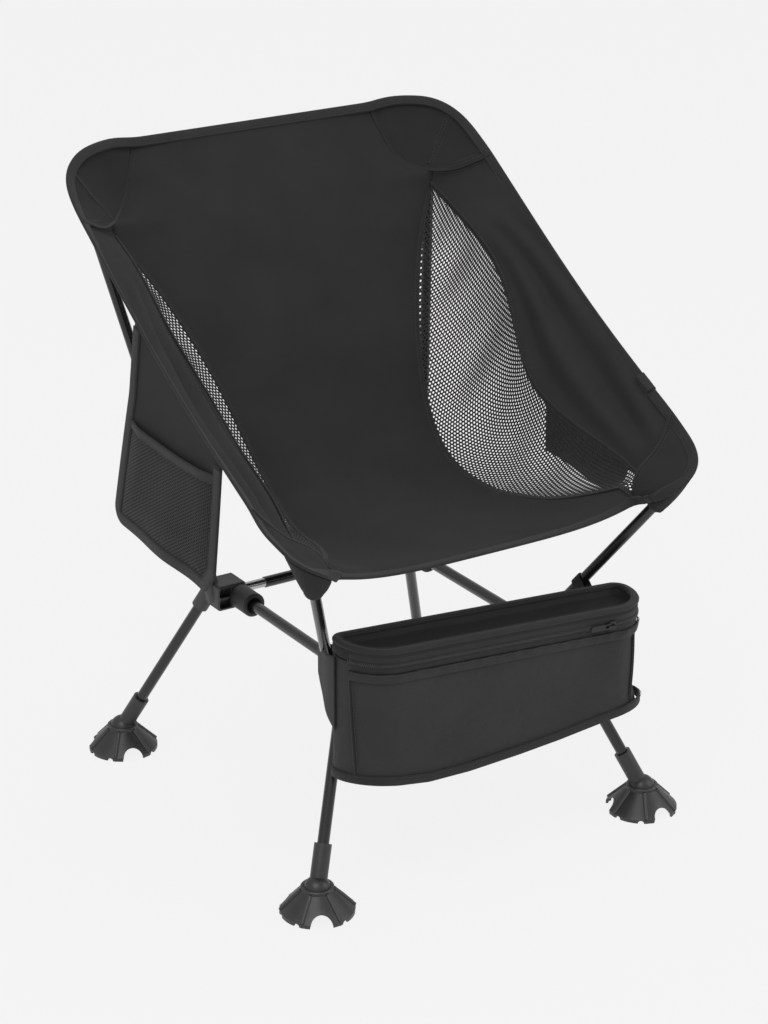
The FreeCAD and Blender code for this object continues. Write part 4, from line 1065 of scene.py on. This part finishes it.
def bag_shell():
    """The body's cloth, with folds, a drawn-in right end and a flared base."""
    count = 300
    plan = bag_outline(-1.0, count)
    out2 = outline_ways(plan)
    s = np.linspace(0, length_of(closed_up(plan)), count)
    rows = 56
    top = body_top(plan[:, 0]) - 0.8
    low = -BAG_HEIGHT + base_drop(plan)
    front = np.clip(-plan[:, 1] / BAG_DEPTH, 0.25, 1)
    right_end = end_share(plan)
    verts, uv = [], []
    for i in range(rows):
        t = i / (rows - 1)
        z = top + (low - top) * t
        swell = 1.9 * math.sin(math.pi * min(t * 1.05, 1)) ** 0.8
        amount = swell + bag_folds(s, z) * min(1, 6 * t, 6 * (1 - t))
        drawn_in = (7.0 - 5.0 * t) * min(1, max(0.0, (t - 0.13) / 0.08), 6 * (1 - t))
        flare = BASE_FLARE * max(0.0, (t - 0.78) / 0.22) ** 1.6
        amount = amount + right_end * (flare - drawn_in)
        verts.append(body_point(plan + out2 * (amount * front)[:, None], z))
        uv += list(zip(s, z))
    foot = plan + out2 * (right_end * BASE_FLARE * front)[:, None]
    inner = []
    for i in range(12):
        t = (i + 1) / 12
        ring = foot * (1 - t) + np.array([0, -BAG_DEPTH / 2]) * t
        inner.append(body_point(ring, low * (1 - t) + (-BAG_HEIGHT - 1.6) * t))
        uv += [(k, -BAG_HEIGHT - t * 30) for k in s]
    obj = make("bag_shell", np.concatenate(verts + inner), grid_faces(rows + 12, count, closed=True), "bag",
               uv=uv)
    thicken(obj, 1.0)
    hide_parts("bag_body")


def bag_base():
    plan, out = base_edge(0.6, 240)
    obj = sweep("bag_base_binding", body_point(plan, -BAG_HEIGHT + base_drop(plan)), [0, 0, 1.0], out,
                rounded_section(-0.3, 9.5, 2.6), "bag_trim", closed=True)
    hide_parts("bag_base_rim")
    plan, out = base_edge(2.2, 400)
    line = body_point(plan, -BAG_HEIGHT + base_drop(plan) + 8.2)
    stitches("bag_base_stitch", closed_up(line), closed_up(out))


def bag_corner_seams():
    for tag, side in (("left", -1), ("right", 1)):
        t = np.linspace(0, 1, 50)
        angle = np.radians(24 + 8 * t) if side < 0 else np.radians(58 + 6 * t)
        way = np.column_stack([side * np.cos(angle), -np.sin(angle)])
        plan = np.array([side * 130.0, -16]) + way * 46.6
        plan = plan + way * (1.4 * np.sin(math.pi * t))[:, None]
        top = body_top(plan[:, 0]) - 9
        low = -BAG_HEIGHT + 9 + base_drop(plan)
        line = body_point(plan, top + (low - top) * t)
        out = with_flat(way)
        across = unit(np.cross(np.gradient(line, axis=0), out))
        sweep(f"bag_corner_seam_{tag}", line, across, out, rounded_section(-1.4, 1.4, 3.0, -0.9), "bag_trim")
        stitches(f"bag_corner_stitch_{tag}", line + across * 3.0 * side - out * 0.4, out)


def front_part(grow, count, rear):
    """The bag's plan ahead of a line across it, with the ways out."""
    plan = bag_outline(grow, count)
    keep = plan[:, 1] < rear
    return plan[keep], outline_ways(plan)[keep]


def bag_flap():
    """Crinkled rain flap sewn under the zip, round the front and the ends."""
    plan, out2 = front_part(1.2, 400, -36)
    s = run_along(plan)
    rows = 12
    grid = []
    for i in range(rows):
        t = i / (rows - 1)
        z = -8.6 - 9.0 * t
        pucker = 0.7 * np.sin(s / 5.3 + 2 * t) * np.sin(s / 37) + 0.45 * np.sin(s / 3.1)
        amount = 0.9 + 0.8 * math.sin(math.pi * t) + pucker * math.sin(math.pi * min(1, 0.25 + t))
        grid.append(with_z(plan + out2 * amount[:, None], z))
    points = np.array(grid)
    obj = make("bag_rain_flap", bag_point(points.reshape(-1, 3)), grid_faces(rows, len(plan)), "bag_flap",
               uv=np.stack(np.broadcast_arrays(s[None, :], points[:, :, 2]), axis=2).reshape(-1, 2))
    thicken(obj, 0.7)
    out = with_flat(out2)
    stitches("bag_rain_flap_stitch", bag_point(points[1] + out * 0.8), bag_way(out))


def bag_lid():
    count = 260
    rings = [(bag_outline(grow, count), z) for grow, z in (
        (-1.4, 1.0), (0.0, 1.2), (0.3, 6.0), (0.2, 11.0), (-2.0, 14.0), (-5.4, 13.0), (-7.0, 8.0),
        (-9.5, 5.4))]
    verts = [with_z(ring, z) for ring, z in rings]
    last = rings[-1][0]
    steps = 20
    for i in range(1, steps + 1):
        t = i / steps
        ring = last * (1 - t) + np.array([0, -BAG_DEPTH / 2]) * t
        sag = 5.4 - 1.5 * math.sin(math.pi * t / 2)
        wave = 0.5 * np.sin(ring[:, 0] / 33 + 1) * np.sin(ring[:, 1] / 17) + 0.25 * np.sin(ring[:, 0] / 13)
        verts.append(with_z(ring, 0) + np.column_stack([np.zeros((count, 2)), sag + wave * (1 - t)]))
    points = np.concatenate(verts)
    obj = make("bag_lid_shell", bag_point(points), grid_faces(len(verts), count, closed=True), "bag_lid",
               uv=points[:, :2] + points[:, 2:3], body="lid")
    thicken(obj, 1.0)
    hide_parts("bag_lid")
    plan = bag_outline(-3.0, 260)
    obj = sweep("bag_lid_binding", bag_point(with_z(plan, 13.6)), bag_way(with_flat(outline_ways(plan))),
                bag_way([0, 0, 1]), rounded_section(-4.4, 4.6, 5.2), "bag_trim", body="lid", closed=True)
    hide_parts("bag_lid_rim")
    line = bag_point(with_z(bag_outline(-6.4, 400), 16.3))
    stitches("bag_lid_stitch", closed_up(line), bag_way([0, 0, 1]), body="lid")


def zip_chain():
    """Tapes and moulded coil teeth round the front and the ends of the bag."""
    for tag, sign, body in (("lower", -1, "frame"), ("upper", 1, "lid")):
        plan, out2 = front_part(0.45, 420, -33)
        low, high = sorted((sign * 0.4, sign * 8.2))
        obj = sweep(f"zip_tape_cloth_{tag}", bag_point(with_z(plan, 0)), bag_way([0, 0, 1.0]),
                    bag_way(with_flat(out2)), rounded_section(low, high, 0.8), "tape", body=body)
        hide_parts(f"zip_tape_{tag}")
        count = int(length_of(plan) / 1.9)
        places = evened(plan, count)
        way = unit(np.gradient(places, axis=0))
        normal = np.column_stack([way[:, 1], -way[:, 0]])
        if normal[count // 2] @ np.array([0, -1.0]) < 0:
            normal = -normal
        verts, faces = [], []
        for k in range(count):
            shift = 0.0 if sign < 0 else 0.95
            centre = places[k] + way[k] * shift
            base = len(verts)
            for z, grow in ((sign * 2.3, 0.75), (sign * 1.4, 1.0), (sign * 0.12, 1.0), (-sign * 0.5, 0.7)):
                for a, b in ((-0.5, 0.0), (0.5, 0.0), (0.5, 1.0), (0.0, 1.35), (-0.5, 1.0)):
                    spot = centre + way[k] * a * grow + normal[k] * (0.35 + b * 0.95 * grow)
                    verts.append((spot[0], spot[1], z))
            faces += grid_faces(4, 5, closed=True, offset=base)
            faces += [tuple(base + i for i in range(4, -1, -1)), tuple(base + 15 + i for i in range(5))]
        make(f"zip_teeth_{tag}", bag_point(verts), faces, "teeth", body=body)


def bag_webbing():
    """Wide band from the bag's left end round the left pole, and a loop round the right pole."""
    plan = curve([(-169.5, -196), (-168, -180), (-161, -160), (-155, -143), (-147, -133), (-138, -138),
                  (-135, -156), (-135, -178.5)], 60)
    t = np.linspace(0, 1, 60)
    high = np.interp(t, [0, 0.2, 0.45, 0.7, 1], [262, 257, 250, 244, 240])
    low = np.interp(t, [0, 0.2, 0.35, 0.45, 0.7, 1], [184, 196, 209, 218, 224, 220])
    grid = np.array([[(x, y, a + (b - a) * v) for v in np.linspace(0, 1, 18)]
                     for (x, y), a, b in zip(plan, high, low)])
    # The band takes the darker trim cloth, whose colour here holds painted shade: it is made as dark as the
    # bag's cloth in shade.
    obj = grid_piece("bag_end_band", grid, "bag_trim", 1.5)
    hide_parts("bag_straps")
    for tag, k in (("upper", 1), ("lower", 16)):
        line = grid[:, k]
        out = unit(np.cross(np.gradient(line, axis=0), [0, 0, 1.0]))
        stitches(f"bag_end_band_stitch_{tag}", line + out * 0.8, out)

    root, way = pole("front", 1)
    centre = root + way * 57
    toward = unit(np.array([0, -1.0, 0]) + way * way[1])
    across = np.cross(way, toward)
    reach = (centre[1] + 178.4) / -toward[1]
    path = [centre + toward * reach + across * 6.9]
    for angle in np.linspace(90, 270, 19):
        a = math.radians(angle)
        path.append(centre + toward * 6.9 * math.cos(a) + across * 6.9 * math.sin(a))
    path.append(centre + toward * reach - across * 6.9)
    path = evened(path, 60)
    along = unit(np.gradient(path, axis=0))
    sweep("bag_loop_right", path, way, np.cross(along, way), rounded_section(-6.0, 6.0, 1.5), "bag_trim")


def side_tab():
    """Folded woven tab sewn over the right side edge."""
    edge = curve(SIDE_EDGE, 300)
    line = edge[(edge[:, 1] < -124) & (edge[:, 1] > -146)]
    line = evened(line, 24)
    along = unit(line[-1] - line[0])
    inward = unit(np.array([-0.8, 0.0, -0.3]) - along * (np.array([-0.8, 0.0, -0.3]) @ along))
    lift = unit(np.cross(inward, along))
    lift = lift if lift[2] > 0 else -lift
    sweep("side_tab", line, inward, lift, rounded_section(-1.8, 9.0, 4.6, 0.2), "bag_trim")
    stitches("side_tab_stitch", line + inward * 7.0 + lift * 2.5, lift)


for side_name, side_sign in (("left", -1), ("right", 1)):
    for piece in (front_cone, back_sleeve, pocket_panel, pouch_net, pocket_binding, pouch_hem):
        piece(side_name, side_sign)
side_tab()
bag_webbing()
bag_shell()
bag_base()
bag_corner_seams()
bag_flap()
bag_lid()
zip_chain()


# Studio

BACKDROP = (0.905, 0.905, 0.905, 1)


def studio_floor():
    """Pale floor disc that the camera sees as bright as the backdrop."""
    n = Nodes("studio_floor")
    n.set(Base_Color=(0.86, 0.86, 0.86, 1), Roughness=0.9, Specular_IOR_Level=0.1)
    glow = n.add("ShaderNodeEmission", {"Color": BACKDROP, "Strength": 1.0})
    path = n.add("ShaderNodeLightPath")
    seen = n.math("MAXIMUM", path.outputs["Is Camera Ray"], path.outputs["Is Glossy Ray"])
    seen = n.math("MULTIPLY", n.math("MAXIMUM", seen, path.outputs["Is Transmission Ray"]), 0.94)
    mix = n.add("ShaderNodeMixShader", {0: seen, 1: n.shader, 2: glow})
    n.plug(n.output, "Surface", mix)
    mesh = bpy.data.meshes.new("floor")
    ring = [(math.cos(a) * 14, math.sin(a) * 14, 0.0) for a in np.linspace(0, 2 * math.pi, 65)[:-1]]
    mesh.from_pydata(ring, [], [tuple(range(64))])
    mesh.materials.append(n.material)
    floor = bpy.data.objects.new("floor", mesh)
    bpy.context.scene.collection.objects.link(floor)


def studio_world():
    """Even light from all round, and a plain backdrop for the camera."""
    world = bpy.data.worlds.new("world")
    bpy.context.scene.world = world
    world.use_nodes = True
    tree = world.node_tree
    light = tree.nodes["Background"]
    light.inputs["Color"].default_value = (0.9, 0.9, 0.9, 1)
    light.inputs["Strength"].default_value = 0.75
    seen = tree.nodes.new("ShaderNodeBackground")
    seen.inputs["Color"].default_value = BACKDROP
    mix = tree.nodes.new("ShaderNodeMixShader")
    path = tree.nodes.new("ShaderNodeLightPath")
    for source, socket in ((path.outputs["Is Camera Ray"], mix.inputs[0]), (light.outputs[0], mix.inputs[1]),
                           (seen.outputs[0], mix.inputs[2]),
                           (mix.outputs[0], tree.nodes["World Output"].inputs["Surface"])):
        tree.links.new(source, socket)


def studio_lamp(label, place, target, energy):
    """Square soft light, 1.8 m wide."""
    lamp = bpy.data.lights.new(label, "AREA")
    lamp.energy = energy
    lamp.size = 1.8
    holder = bpy.data.objects.new(label, lamp)
    bpy.context.scene.collection.objects.link(holder)
    holder.location = place
    holder.rotation_mode = "QUATERNION"
    holder.rotation_quaternion = (Vector(target) - Vector(place)).to_track_quat("-Z", "Y")


studio_floor()
studio_world()
studio_lamp("key", (-1.6, -1.3, 2.6), (0, 0, 0.35), 36)
studio_lamp("fill", (2.2, -1.8, 1.7), (0, 0, 0.3), 20)
studio_lamp("top", (0.2, 0.7, 2.8), (0, 0, 0.4), 10)
bpy.context.scene.view_settings.view_transform = "Standard"
